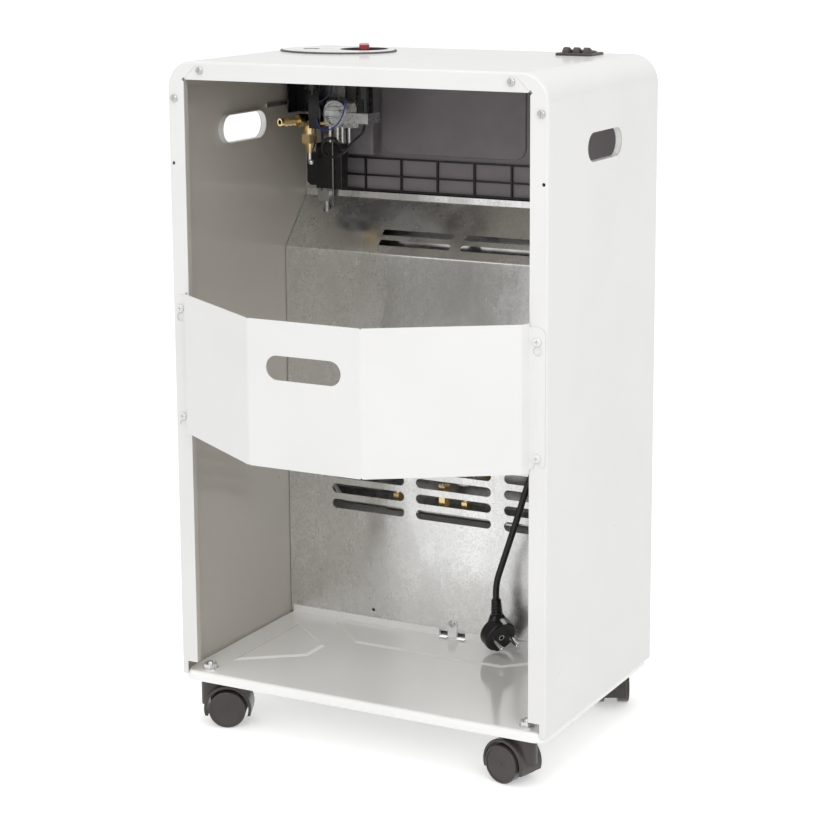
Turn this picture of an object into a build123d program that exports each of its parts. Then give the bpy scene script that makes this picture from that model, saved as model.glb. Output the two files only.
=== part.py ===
from build123d import *
import math
import os

# Portable gas cabinet heater with an electric fan heater, seen by its open rear side.
# Lengths are in millimetres, +X is the left side as seen from behind, +Y is the rear and +Z is up.
# Every piece is built about the cabinet: x = 0 and y = 0 at the middle of the sheet casing and
# z = 0 at the casing's lower edge. save() then moves it so that the origin is on the floor.

os.makedirs("parts", exist_ok=True)

# ---------------------------------------------------------------- cabinet
cabinet_w = 420.0
cabinet_d = 270.0
cabinet_h = 643.0
sheet = 1.0
corner_r = 28.0
corner_seam = 20.0
seam_w = 0.6
seam_notch = 3.4
edge_r = 2.5
rear_flange_w = 19.0
rear_flange_h = 18.5
return_lip = 7.0
front_flange_w = 20.0
guard_foot_r = 2.0
front_flange_h = 21.0
notch_w = 12.0
notch_h = 14.0
seat_gap = 0.3
run_gap = 0.05
fold_r = 2.0

half_w = cabinet_w / 2
rear_y = cabinet_d / 2
front_y = -cabinet_d / 2
window_x = half_w - rear_flange_w
window_z = cabinet_h - rear_flange_h
inner_x = half_w - sheet
inner_top = cabinet_h - sheet

slot_len = 84.5
slot_h = 28.5
slot_y = 2.3
slot_z = 564.8
slot_rim = 6.0

# ---------------------------------------------------------------- screws
screw_r = 2.0
screw_hole_r = 2.2
screw_head_r = 4.0
screw_head_h = 2.2
head_gap = 0.05
fascia_screw_x = 202.0
fascia_screw_z = 603.0
tab_screw_up = 15.3
top_screw_x = 171.6
top_screw_z = 634.0
side_screw_x = 202.5
side_screw_z = 605.5
cover_hole_x = 205.0
cover_hole_z = 540.0
cover_hole_r = 1.8

# ---------------------------------------------------------------- base pan and casters
pan_t = 1.2
pan_top = 4.5
pan_lip = 10.0
pan_corner_r = 14.0
pan_bend_r = 4.0
pan_overhang = 1.5
pan_gap = 1.5
emboss_h = 1.6
emboss_slope = 66.0
tab_x = 2.4
tab_w = 11.0
tab_opening_w = 32.0
upstand_h = 8.0

wheel_r = 19.5
wheel_w = 12.5
axle_r = 3.0
trail = 19.0
web_t = 13.0
hood_w = 32.0
hood_r = 25.0
hood_t = 3.0
hood_drop = 7.5
boss_r = 10.0
web_clear = 5.5
stem_r = 4.0
stem_x = {"rear": 184.0, "front": 176.0}
stem_y = {"rear": 121.0, "front": -110.0}
stem_above = 12.5
caster_drop = 49.0
caster_turn = {"rear_left": 205.0, "rear_right": -14.5, "front_right": -62.0, "front_left": 150.0}

pan_bottom = pan_top - pan_lip
floor_z = pan_bottom - caster_drop
axle_z = floor_z + wheel_r
hood_top = pan_bottom - 0.5
wheel_in = web_t / 2 + seat_gap
wheel_out = wheel_in + wheel_w

# ---------------------------------------------------------------- partition
partition_t = 0.8
partition_y = -85.0
fold_z = 423.5
slant_top_y = -132.5
slant_top_z = 476.5
strip_h = 7.0
partition_side = 12.0
slot_cols = [(61.8, 152.5), (-44.0, 47.3), (-150.0, -59.6)]
vent_h = 10.5
vent_pitch = 17.6
vent_first_z = 138.0
vent_rows = 5
upper_cols = [(9.6, 96.4), (-90.0, -3.2), (-189.0, -102.4)]
upper_vent_h = 5.5
upper_vent_ys = [-94.8, -103.8]
pilot_bend = (171.0, -124.0, 468.0)

# ---------------------------------------------------------------- bottle retainer
retainer_t = 1.0
retainer_depth = 94.5
retainer_fold_x = 62.0
retainer_side_x = 188.0
retainer_step = 11.0
retainer_fold_r = 7.0
retainer_low = 264.5
retainer_high = 409.0
retainer_gap = 0.3
retainer_flange_out = 208.0
retainer_flange_in = 192.0
retainer_flange_cut = 3.5
retainer_flange_r = 8.0
grip_len = 82.0
grip_h = 24.0
grip_z = 363.2
peg_x = 200.0
peg_zs = [279.0, 391.5]
peg_neck_r = 2.1
keyhole_r = 4.6
lift = 9.0

# ---------------------------------------------------------------- front
front_projection = 22.0
fascia_half_w = 198.0
fascia_low = 478.5
fascia_high = 632.0
fascia_wall = 2.5
fascia_edge_r = 9.0
liner_y = -136.0
liner_t = 2.5
liner_half_w = 189.5
liner_low = 484.5
liner_high = 621.0
rib_t = 1.8
rib_deep = 3.2
rib_pitch = 44.5
rib_zs = [486.0, 502.0, 521.0]
pad_x0 = -61.0
pad_x1 = 113.5
pad_z0 = 526.5
pad_z1 = 612.0
pad_r = 14.0

panel_half_w = 197.0
guard_inset = 1.0
panel_low = 1.0
panel_high = 132.0
panel_deep = 12.0
panel_r = 4.0
louvre_len = 290.0
louvre_h = 5.0
louvre_pitch = 12.0
louvre_rows = 6

guard_half_w = panel_half_w - guard_inset
guard_low = 140.0
guard_high = 472.0
guard_y = -150.0
guard_r = 2.5
wire_r = 1.3
wire_pitch = 14.3

# ---------------------------------------------------------------- burner
burner_x = -8.0
plaque_pitch = 84.0
plaque_w = 80.0
plaque_h = 172.0
plaque_t = 13.0
plaque_low = 222.0
plaque_front_y = -112.0
plaque_seat = 0.3
burner_wall = 1.5
burner_deep = 23.0
burner_rim = 5.0
venturi_r = 8.0
venturi_y = -98.0
venturi_low = 176.0
venturi_flare = 3.0
manifold_z = 140.0
manifold_r = 5.0
manifold_half = 96.0
injector_w = 11.0
injector_h = 9.0
tee_offset = 27.0
tee_h = 24.0
reflector_rim = 12.0
reflector_half_w = guard_half_w - reflector_rim
reflector_low = 142.0
reflector_high = 465.0
reflector_t = 0.8
pilot_x = 34.0
pilot_y = -122.0
pilot_r = 4.0
pilot_h = 24.0
probe_pitch = 8.0

# ---------------------------------------------------------------- gas valve and its fittings
valve_x0 = 112.0
valve_x1 = 151.5
valve_y0 = -104.0
valve_y1 = -80.0
valve_z0 = 558.0
valve_z1 = 588.0
can_x = 136.5
can_y = -72.0
can_z = 574.0
can_r = 14.5
port_r = 2.0
port_xs = [124.5, 133.0, 139.0, 148.5]
tee_x = 171.5
tee_y = -78.0
tee_z = 566.0
barb_turn = 20.0
barb_len = 41.0
nozzle_r = 4.2
nozzle_bore_r = 2.6
nut_across = 16.6
bracket_t = 1.2
bracket_y = valve_y0 - 0.3
bracket_x0 = 142.0
bracket_x1 = 166.0
bracket_low = 491.0
cover_wall = 1.5
column_r = 9.0
box_x0 = 138.5
box_x1 = 171.5
box_low = 490.5
box_high = 540.0
box_y = -90.0
pipe_r = 3.5
pipe_x = 176.0
pipe_y = -122.0
pilot_tube_r = 1.0

# ---------------------------------------------------------------- controls on the top
plate_x = 120.5
plate_y = -54.0
plate_a = 65.0
plate_b = 50.0
plate_t = 1.8
knob_x = 97.0
knob_y = -68.0
recess_r = 25.0
recess_depth = 17.0
dial_r = 20.0
dial_t = 9.0
grip_w = 11.0
grip_l = 34.0
knob_top = 650.5
knob_turn = 29.5
spindle_r = 3.0
spindle_travel = 3.0
button_x = 150.0
button_y = -48.0
button_r = 7.5
button_travel = 4.0
piezo_r = 8.0

rocker_r = 12.5
rocker_w = 8.4
rocker_pitch = 11.2
rocker_count = 3
rocker_pivot_z = 640.5
rocker_rise = 24.0
rocker_fall = 7.0
switch_x = -137.3
switch_y = -99.0
bezel_w = 40.0
bezel_rim = 3.2
bezel_t = 2.6
switch_w = 36.0
switch_wall = 1.5
switch_low = 622.0

# ---------------------------------------------------------------- electric fan heater
fan_x0 = -130.0
fan_x1 = 110.0
fan_low = 12.0
fan_high = 112.0
fan_y0 = -132.0
fan_y1 = -92.0
fan_wall = 1.0
rotor_r = 17.0
rotor_y = -112.5
rotor_z = 88.0
rotor_blades = 14
rotor_shaft_r = 2.5
motor_r = 18.0
motor_len = 30.0
heater_low = 20.0
heater_high = 62.0
heater_y = -120.0
heater_rods = 4
heater_fin_pitch = 9.0

# ---------------------------------------------------------------- mains lead
cord_r = 3.5
coil_x = -196.0
coil_y = -18.0
coil_z = 268.0
coil_mean_r = 44.0
coil_turns = 3.5
coil_step = 7.9
plug_x = -65.5
plug_y = -58.0
plug_z = 27.0
plug_pin_dir = (-0.797, 0.48, -0.368)
plug_side_dir = (-0.315, 0.19, 0.93)
plug_neck_dir = (0.057, 0.0, 0.998)
plug_r = 18.5
plug_t = 15.0
plug_neck = 38.5
pin_r = 2.4
pin_len = 19.0
pin_pitch = 19.0
gland_x = coil_x
gland_r = 7.0
gland_nut = 18.0
gland_len = 15.0

to_floor = Pos(0, (front_projection - retainer_depth - retainer_t) / 2, -floor_z)


# ---------------------------------------------------------------- shared shapes
def save(name, shape):
    export_step(to_floor * shape, f"parts/{name}.step")


def block(x0, x1, y0, y1, z0, z1):
    return Pos((x0 + x1) / 2, (y0 + y1) / 2, (z0 + z1) / 2) * Box(x1 - x0, y1 - y0, z1 - z0)


def rod(start, end, radius):
    axis = Vector(*end) - Vector(*start)
    return extrude(Plane(origin=start, z_dir=axis) * Circle(radius), axis.length)


def cone(start, end, r_start, r_end):
    axis = Vector(*end) - Vector(*start)
    place = Plane(origin=start, z_dir=axis)
    return place * Pos(0, 0, axis.length / 2) * Cone(r_start, r_end, axis.length)


def hexagon(start, end, across):
    axis = Vector(*end) - Vector(*start)
    place = Plane(origin=start, z_dir=axis)
    return extrude(place * RegularPolygon(across / math.sqrt(3), 6), axis.length)


def union(shapes):
    whole = shapes[0]
    for shape in shapes[1:]:
        whole = whole + shape
    return whole


def mirrored(shape):
    return [shape, mirror(shape, about=Plane.YZ)]


def arch(half, high, radius, y0, y1, low=0.0):
    body = block(-half, half, y0, y1, low, high)
    return fillet(body.edges().filter_by(Axis.Y).group_by(Axis.Z)[-1], radius)


def rim_edges(body, y, low):
    return [e for e in body.edges()
            if abs(e.center().Y - y) < 0.01 and e.center().Z > low + 0.01]


def stadium_x(length, height, x0, x1, y, z):
    # a slot through a side wall, its length along y
    face = Plane(origin=(x0, y, z), x_dir=(0, 1, 0), z_dir=(1, 0, 0)) * SlotOverall(length, height)
    return extrude(face, x1 - x0)


def stadium_y(length, height, y0, y1, x, z):
    # a slot through an upright panel, its length along x
    face = Plane(origin=(x, y1, z), x_dir=(1, 0, 0), z_dir=(0, -1, 0)) * SlotOverall(length, height)
    return extrude(face, y1 - y0)


def pan_screw(x, y, z, shank, axis=(0, 1, 0)):
    # raised cross-recess screw: the head's underside is at the point, the shank runs inwards
    place = Plane(origin=(x, y, z), z_dir=axis)
    head = extrude(place * Pos(0, 0, head_gap) * Circle(screw_head_r), screw_head_h)
    head = fillet(far_edges(head, place), 1.2)
    cross = union([Box(4.4, 0.9, 2.4), Box(0.9, 4.4, 2.4)])
    shaft = extrude(place * Pos(0, 0, head_gap + 0.5) * Circle(screw_r), -shank - head_gap - 0.5)
    return head + shaft - place * Pos(0, 0, screw_head_h) * cross


def far_edges(body, place):
    # the edges of a disc's outer face, away from the plane it stands on
    heights = [(place.to_local_coords(e.center()).Z, e) for e in body.edges()]
    top = max(h for h, _ in heights)
    return [e for h, e in heights if abs(h - top) < 0.01]


def bent_path(points, radii):
    return FilletPolyline(*points, radius=radii)


def tube(path, radius):
    return sweep(Plane(origin=path @ 0, z_dir=path % 0) * Circle(radius), path=path)


def free_radii(points):
    # each arc as large as its two runs allow
    radii = []
    for a, b, c in zip(points, points[1:], points[2:]):
        before = Vector(*b) - Vector(*a)
        after = Vector(*c) - Vector(*b)
        turn = math.radians(before.get_angle(after))
        radii.append(0.45 * min(before.length, after.length) / math.tan(turn / 2))
    return radii


# ---------------------------------------------------------------- casing
def cabinet_shell():
    outer = arch(half_w, cabinet_h, corner_r, front_y, rear_y)
    outer = fillet(rim_edges(outer, rear_y, 0) + rim_edges(outer, front_y, 0), edge_r)
    inner = arch(inner_x, inner_top, corner_r - sheet, front_y + sheet, rear_y - sheet, -1.0)
    inner = fillet(rim_edges(inner, rear_y - sheet, -1) + rim_edges(inner, front_y + sheet, -1),
                   edge_r - sheet)
    shell = outer - inner
    shell -= block(-window_x, window_x, rear_y - 2 * sheet, rear_y + 1, -1, window_z)
    front_x = half_w - front_flange_w
    shell -= block(-front_x, front_x, front_y - 1, front_y + 2 * sheet, -1, cabinet_h - front_flange_h)
    lip_y0 = rear_y - return_lip
    shell += block(-window_x - sheet, window_x + sheet, lip_y0, rear_y - sheet,
                   window_z, window_z + sheet)
    for lip in mirrored(block(window_x, window_x + sheet, lip_y0, rear_y - sheet, notch_h, window_z)):
        shell += lip
    shell -= union(mirrored(block(window_x - 1, window_x + notch_w, rear_y - return_lip - 1,
                                  rear_y + 1, -1, notch_h)))
    shell += corner_gussets()
    shell += union(mirrored(slot_collar()))
    shell -= stadium_x(slot_len, slot_h, -half_w - 1, half_w + 1, slot_y, slot_z)
    for hole in shell_holes() + flange_seams():
        shell -= hole
    return shell


def flange_seams():
    # the mitred joint of the folded flanges: a notch at the opening's corner and a fine groove beyond it
    seams = []
    length = corner_seam
    for side in (-1, 1):
        turn = 45 if side < 0 else -45
        place = Pos(side * window_x, rear_y, window_z) * Rot(0, turn, 0)
        seams.append(place * Pos(0, -sheet, 0) * Box(seam_notch, 3 * sheet, seam_notch))
        seams.append(place * Pos(0, 0, length / 2) * Box(seam_w, sheet, length))
    return seams


def slot_collar():
    ring = stadium_x(slot_len + 2 * sheet, slot_h + 2 * sheet, inner_x - slot_rim, inner_x + sheet / 2,
                     slot_y, slot_z)
    return ring - stadium_x(slot_len, slot_h, inner_x - slot_rim - 1, half_w, slot_y, slot_z)


def shell_holes():
    y0 = rear_y - 3
    y1 = rear_y + 1
    holes = [rod((x, y0, z), (x, y1, z), screw_hole_r) for x, z in flange_screw_places()]
    for side in (-1, 1):
        x = side * cover_hole_x
        holes.append(rod((x, y0, cover_hole_z), (x, y1, cover_hole_z), cover_hole_r))
        for z in peg_zs:
            holes.append(rod((side * peg_x, y0, z), (side * peg_x, y1, z), screw_hole_r))
        x = side * fascia_screw_x
        holes.append(rod((x, front_y - 1, fascia_screw_z), (x, front_y + 2, fascia_screw_z), screw_hole_r))
    low = inner_top - 1
    high = cabinet_h + 1
    holes.append(rod((knob_x, knob_y, low), (knob_x, knob_y, high), recess_r + 3))
    holes.append(rod((button_x, button_y, low), (button_x, button_y, high), piezo_r + 3))
    cut_w = switch_w / 2 + seat_gap
    cut_d = switch_half_d() + seat_gap
    holes.append(block(switch_x - cut_w, switch_x + cut_w, switch_y - cut_d, switch_y + cut_d, low, high))
    return holes


def flange_screw_places():
    places = []
    for side in (-1, 1):
        places.append((side * top_screw_x, top_screw_z))
        places.append((side * side_screw_x, side_screw_z))
    return places


def corner_gussets():
    # stiffening plates welded behind the rear flange in both upper corners
    y1 = rear_y - sheet
    y0 = y1 - pan_t
    body = arch(inner_x, inner_top, corner_r - sheet, y0, y1, side_screw_z - 12)
    body -= block(-window_x - sheet, window_x + sheet, y0 - 1, y1 + 1, 0, window_z + sheet)
    return body - block(-top_screw_x + 12, top_screw_x - 12, y0 - 1, y1 + 1, 0, cabinet_h)


def panel_screws():
    screws = [pan_screw(x, rear_y, z, 8.0) for x, z in flange_screw_places()]
    screws.append(pan_screw(tab_x, partition_y + seat_gap + pan_t, pan_top + tab_screw_up, 6.0))
    for side in (-1, 1):
        screws.append(pan_screw(side * fascia_screw_x, front_y + sheet, fascia_screw_z, 2.6))
    return Compound(children=screws)


# ---------------------------------------------------------------- base pan
def trapezoid(points):
    return extrude(Pos(0, 0, pan_top) * make_face(Polyline(*points, close=True)), emboss_h, taper=emboss_slope)


def base_pan():
    wide = inner_x - 0.5
    y0 = front_y + sheet + 0.5
    y1 = rear_y + pan_overhang
    pan = block(-wide, wide, y0, y1, pan_bottom, pan_top)
    pan = fillet(pan.edges().filter_by(Axis.Z), pan_corner_r)
    pan = fillet(pan.edges().group_by(Axis.Z)[-1], pan_bend_r)
    hollow = block(-wide + pan_t, wide - pan_t, y0 + pan_t, y1 - pan_t, pan_bottom - 1, pan_top - pan_t)
    hollow = fillet(hollow.edges().filter_by(Axis.Z), pan_corner_r - pan_t)
    pan -= hollow
    for points in emboss_outlines():
        pan += trapezoid(points)
    back = partition_y + seat_gap
    upstand = block(-wide + 4, wide - 4, back, back + pan_t, pan_top - 0.5, pan_top + upstand_h)
    half = tab_opening_w / 2
    upstand -= block(tab_x - half, tab_x + half, back - 1, back + pan_t + 1, pan_top, pan_top + 20)
    pan += upstand
    pan -= block(tab_x - half, tab_x + half, back - 2.5, back + 6, pan_bottom, pan_top + 1)
    pan += block(tab_x - tab_w / 2, tab_x + tab_w / 2, back, back + pan_t, pan_top - pan_t, pan_top + 15)
    pan += block(tab_x - tab_w / 2, tab_x + tab_w / 2, back, back + 7, pan_top - pan_t, pan_top)
    pan += rod((tab_x, back, pan_top + 15), (tab_x, back + pan_t, pan_top + 15), tab_w / 2)
    pan -= rod((tab_x, back - 1, pan_top + tab_screw_up), (tab_x, back + 3, pan_top + tab_screw_up), screw_hole_r)
    for x, y in stem_places():
        pan -= rod((x, y, -1), (x, y, pan_top + emboss_h), stem_r + 0.1)
    return pan


def emboss_outlines():
    rear = [(-140, 117), (140, 117), (80, 62), (-80, 62)]
    front = [(-146, -72), (146, -72), (88, -18), (-88, -18)]
    left = [(176, -48), (176, 90), (112, 42), (112, 6)]
    right = [(-x, y) for x, y in left]
    return [rear, front, left, right]


# ---------------------------------------------------------------- casters
def caster_stems():
    return Compound(children=[Pos(x, y, 0) * caster_stem() for x, y in stem_places()])


def stem_places():
    return [caster_origin(name) for name in caster_turn]


def caster_origin(name):
    end, side = name.split("_")
    x = stem_x[end] if side == "left" else -stem_x[end]
    return x, stem_y[end]


def caster_stem():
    sheet_low = pan_top - pan_t
    washer_top = pan_top + 1.4
    nut_top = washer_top + 4.2
    stem = rod((0, 0, hood_top - 11), (0, 0, stem_above), stem_r)
    stem = chamfer(stem.edges().group_by(Axis.Z)[-1], 0.6)
    stem += rod((0, 0, hood_top + seat_gap), (0, 0, sheet_low), 9.0)
    stem += rod((0, 0, pan_top), (0, 0, washer_top), 8.0)
    nut = hexagon((0, 0, washer_top), (0, 0, nut_top), 13.0)
    return stem + nut


def caster_place(name):
    x, y = caster_origin(name)
    return Pos(x, y, 0) * Rot(0, 0, caster_turn[name])


def caster_hood():
    half = hood_w / 2
    hood = rod((trail, -half, axle_z), (trail, half, axle_z), hood_r)
    hood = fillet(hood.edges().filter_by(GeomType.CIRCLE), 1.2)
    top = rod((0, 0, axle_z + 2), (0, 0, hood_top), boss_r)
    top += block(0, trail, -boss_r, boss_r, axle_z + 2, hood_top)
    top += rod((trail, 0, axle_z + 2), (trail, 0, hood_top), boss_r)
    hood += fillet(top.edges().group_by(Axis.Z)[-1], 2.5)
    hood -= block(-20, 60, -20, 20, floor_z - wheel_r, axle_z - hood_drop)
    clear_r = hood_r - hood_t
    hood -= rod((trail, -half - 1, axle_z), (trail, half + 1, axle_z), clear_r)
    web = rod((trail, -web_t / 2, axle_z), (trail, web_t / 2, axle_z), wheel_r - web_clear)
    web += block(0, trail, -web_t / 2, web_t / 2, axle_z, hood_top - 3)
    web += block(trail - 8, trail + 8, -web_t / 2, web_t / 2, axle_z, axle_z + hood_r - 1)
    hood += web
    hood -= rod((0, 0, hood_top - 11.5), (0, 0, hood_top + 1), stem_r + run_gap)
    hood -= rod((trail, -web_t / 2 - 1, axle_z), (trail, web_t / 2 + 1, axle_z), axle_r)
    axle = rod((trail, -wheel_out + 1.5, axle_z), (trail, wheel_out - 1.5, axle_z), axle_r)
    return Compound(children=[hood, axle])


def caster_wheel(side):
    inner = side * wheel_in
    outer = side * wheel_out
    wheel = rod((trail, inner, axle_z), (trail, outer, axle_z), wheel_r)
    wheel = fillet(wheel.edges().filter_by(GeomType.CIRCLE), 1.5)
    dish = rod((trail, outer - side * 0.6, axle_z), (trail, outer + side, axle_z), wheel_r - 2.6)
    wheel -= dish
    wheel += rod((trail, outer - side * 2, axle_z), (trail, outer - side * 0.3, axle_z), 2.6)
    wheel -= rod((trail, inner - side, axle_z), (trail, outer - side * 1.2, axle_z), axle_r + run_gap)
    return wheel


# ---------------------------------------------------------------- partition
def partition():
    half = inner_x - 0.8
    low = pan_top + 0.3
    y = partition_y
    points = [(y, low), (y, fold_z), (slant_top_y, slant_top_z), (slant_top_y, slant_top_z + strip_h)]
    body = sheet_ribbon(points, partition_t, half)
    for side in (-1, 1):
        x0 = side * half
        x1 = side * (half - partition_t)
        body += block(min(x0, x1), max(x0, x1), y - partition_side, y, low, fold_z - 6)
    for x0, x1 in slot_cols:
        for row in range(vent_rows):
            z = vent_first_z + row * vent_pitch
            body -= stadium_y(x1 - x0, vent_h, y - 3, y + 3, (x0 + x1) / 2, z)
    slope = (slant_top_z - fold_z) / (y - slant_top_y)
    for x0, x1 in upper_cols:
        for vent_y in upper_vent_ys:
            z = fold_z + (y - vent_y) * slope
            body -= stadium_y(x1 - x0, upper_vent_h, vent_y - 5, vent_y + 5, (x0 + x1) / 2, z)
    for x, hole_y, radius in ((pipe_x, pipe_y, pipe_r + 1), (pilot_bend[0], pilot_bend[1], pilot_tube_r + 2.2)):
        z = fold_z + (y - hole_y) * slope
        body -= rod((x, hole_y, z - 6), (x, hole_y, z + 5), radius)
    body -= rod((101.4, y - 3, 21.0), (101.4, y + 1, 21.0), 1.8)
    body -= rod((tab_x, y - 3, pan_top + tab_screw_up), (tab_x, y + 1, pan_top + tab_screw_up), screw_hole_r)
    for side in (-1, 1):
        x0 = tab_x + side * (tab_w / 2 + 0.5)
        x1 = tab_x + side * (tab_opening_w / 2 - 1)
        body -= block(min(x0, x1), max(x0, x1), y - 3, y + 1, low - 1, low + 5)
    gland_z = gland_height()
    body -= rod((gland_x, y - 3, gland_z), (gland_x, y + 1, gland_z), gland_r + 0.1)
    return body


def sheet_ribbon(points, thick, half):
    # a sheet folded along x: the points run up its rear face, the metal lies in front of it
    place = Plane(origin=(-half, 0, 0), x_dir=(0, 1, 0), z_dir=(1, 0, 0))
    return extrude(place * folded_face(points, thick, [fold_r] * (len(points) - 2)), 2 * half)


# ---------------------------------------------------------------- bottle retainer
def bottle_retainer():
    y_out = rear_y + retainer_gap
    right = [(-retainer_flange_out, y_out), (-retainer_flange_in, y_out),
             (-retainer_side_x, y_out + retainer_step),
             (-retainer_fold_x, rear_y + retainer_depth)]
    line = right + [(-x, y) for x, y in reversed(right)]
    face = folded_face(line, retainer_t, [fold_r, fold_r] + 2 * [retainer_fold_r] + [fold_r, fold_r])
    body = extrude(Pos(0, 0, retainer_low) * face, retainer_high - retainer_low)
    for side in (-1, 1):
        x0 = side * retainer_flange_in
        x1 = side * (retainer_flange_out + 1)
        for z0, z1 in ((retainer_low - 1, retainer_low + retainer_flange_cut),
                       (retainer_high - retainer_flange_cut, retainer_high + 1)):
            body -= block(min(x0, x1), max(x0, x1), y_out - 1, y_out + 3, z0, z1)
        body = round_flange(body, side)
        for z in peg_zs:
            body -= keyhole(side * peg_x, z)
    y = rear_y + retainer_depth
    body -= stadium_y(grip_len, grip_h, y - 3, y + 3, 0, grip_z)
    for x in (-retainer_fold_x, retainer_fold_x):
        for z in (retainer_low, retainer_high):
            body -= rod((x, y + retainer_t - 4, z), (x, y + retainer_t + 1, z), 1.0)
    return body


def folded_face(line, thick, inner_radii):
    # the section of a folded sheet: both its sides round each fold about one centre
    outer = offset_line(line, thick)
    radii = []
    outer_radii = []
    for a, b, c, inner_r in zip(line, line[1:], line[2:], inner_radii):
        turn = (b[0] - a[0]) * (c[1] - b[1]) - (b[1] - a[1]) * (c[0] - b[0])
        radii.append(inner_r if turn < 0 else inner_r + thick)
        outer_radii.append(inner_r + thick if turn < 0 else inner_r)
    near = FilletPolyline(*line, radius=radii)
    far = FilletPolyline(*outer, radius=outer_radii)
    ends = [Line(near @ 0, far @ 0), Line(near @ 1, far @ 1)]
    return make_face(near.edges() + far.edges() + ends)


def offset_line(line, distance):
    # the same folded line moved outwards by the sheet's thickness, corners mitred
    points = [Vector(x, y, 0) for x, y in line]
    normals = []
    for a, b in zip(points, points[1:]):
        run = (b - a).normalized()
        normals.append(Vector(-run.Y, run.X, 0))
    moved = [points[0] + normals[0] * distance]
    for i in range(1, len(points) - 1):
        mid = (normals[i - 1] + normals[i]).normalized()
        moved.append(points[i] + mid * (distance / mid.dot(normals[i])))
    moved.append(points[-1] + normals[-1] * distance)
    return [(p.X, p.Y) for p in moved]


def round_flange(body, side):
    corners = [e for e in body.edges().filter_by(Axis.Y)
               if abs(e.center().X - side * retainer_flange_out) < 0.01]
    return fillet(corners, retainer_flange_r)


def keyhole(x, z):
    # the narrow slot holds the peg's neck at rest; lifting brings the round hole up to its head
    y0 = rear_y
    y1 = rear_y + 5
    hole_z = z - lift
    hole = rod((x, y0, hole_z), (x, y1, hole_z), keyhole_r)
    neck = peg_neck_r + 0.2
    return hole + block(x - neck, x + neck, y0, y1, hole_z, z) + rod((x, y0, z), (x, y1, z), neck)


def retainer_pegs():
    pegs = []
    under = rear_y + 2 * retainer_gap + retainer_t
    for side in (-1, 1):
        for z in peg_zs:
            x = side * peg_x
            peg = pan_screw(x, under, z, 9.0)
            peg += rod((x, rear_y - sheet - 3, z), (x, rear_y - sheet - 0.1, z), 3.4)
            pegs.append(peg)
    return Compound(children=pegs)


# ---------------------------------------------------------------- front
def fascia_cap():
    y0 = front_y - front_projection
    y1 = front_y - 0.3
    cap = block(-fascia_half_w, fascia_half_w, y0, y1, fascia_low, fascia_high)
    cap = fillet(cap.edges().filter_by(Axis.Y), 10.0)
    cap = fillet(cap.edges().group_by(Axis.Y)[0], fascia_edge_r)
    w = fascia_wall
    hollow = block(-fascia_half_w + w, fascia_half_w - w, y0 + w, y1 + 1, fascia_low + w, fascia_high - w)
    hollow = fillet(hollow.edges().filter_by(Axis.Y), 10.0 - w)
    cap -= fillet(hollow.edges().group_by(Axis.Y)[0], fascia_edge_r - w)
    for row in range(4):
        z = fascia_high - 26 - 9 * row
        cap -= stadium_y(300, 4.5, y0 - 1, y0 + w + 1, 0, z)
    for x in (-150, 150):
        for z in (505, 600):
            cap += rod((x, y0 + 1, z), (x, liner_y - liner_t - 0.3, z), 4.0)
    return cap


def fascia_liner():
    y1 = liner_y
    y0 = y1 - liner_t
    liner = block(-liner_half_w, liner_half_w, y0, y1, liner_low, liner_high)
    tip = y1 + rib_deep
    z0 = rib_zs[0]
    z1 = rib_zs[-1]
    for z in rib_zs:
        liner += block(-liner_half_w + 3, liner_half_w - 3, y1, tip, z - rib_t / 2, z + rib_t / 2)
    count = int((liner_half_w - 3) / rib_pitch)
    for i in range(-count, count + 1):
        x = i * rib_pitch
        liner += block(x - rib_t / 2, x + rib_t / 2, y1, tip, z0, z1)
    pad = block(pad_x0, pad_x1, y1, y1 + 2.0, pad_z0, pad_z1)
    pad = fillet(pad.edges().filter_by(Axis.Y), pad_r)
    liner += fillet(pad.edges().group_by(Axis.Y)[-1], 1.6)
    housing = block(pad_x1 + 2, valve_x1 - 2, y1 - 1, bracket_y - 14, pad_z0, liner_high)
    return liner + fillet(housing.edges().filter_by(Axis.Z), 2.5)


def lower_front_panel():
    y0 = front_y - panel_deep
    y1 = front_y - 0.3
    panel = block(-panel_half_w, panel_half_w, y0, y1, panel_low, panel_high)
    panel = fillet(panel.edges().filter_by(Axis.Y), panel_r)
    panel = fillet(panel.edges().group_by(Axis.Y)[0], panel_r - 0.5)
    hollow = block(-panel_half_w + sheet, panel_half_w - sheet, y0 + sheet, y1 + 1,
                   panel_low + sheet, panel_high - sheet)
    hollow = fillet(hollow.edges().filter_by(Axis.Y), panel_r - sheet)
    panel -= fillet(hollow.edges().group_by(Axis.Y)[0], panel_r - 0.5 - sheet)
    for row in range(louvre_rows):
        z = (panel_low + panel_high) / 2 + (row - (louvre_rows - 1) / 2) * louvre_pitch
        panel -= stadium_y(louvre_len, louvre_h, y0 - 1, y0 + 3, 0, z)
    return panel


def wire_guard():
    corner = 18.0
    outline = Plane(origin=(0, guard_y, (guard_low + guard_high) / 2), x_dir=(1, 0, 0),
                    z_dir=(0, -1, 0)) * RectangleRounded(2 * guard_half_w, guard_high - guard_low, corner)
    path = outline.wire()
    guard = sweep(Plane(origin=path @ 0, z_dir=path % 0) * Circle(guard_r), path=path)
    count = int((guard_half_w - corner / 2) / wire_pitch)
    for i in range(-count, count + 1):
        x = i * wire_pitch
        guard += rod((x, guard_y, guard_low), (x, guard_y, guard_high), wire_r)
    cross_y = guard_y + 0.8 * wire_r
    for share in (0.33, 0.67):
        z = guard_low + share * (guard_high - guard_low)
        guard += rod((-guard_half_w, cross_y, z), (guard_half_w, cross_y, z), wire_r)
    for x in (-guard_half_w, guard_half_w):
        for z in (guard_low + 40, guard_high - 40):
            guard += rod((x, guard_y, z), (x, front_y - seat_gap, z), guard_foot_r)
    return guard


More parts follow.
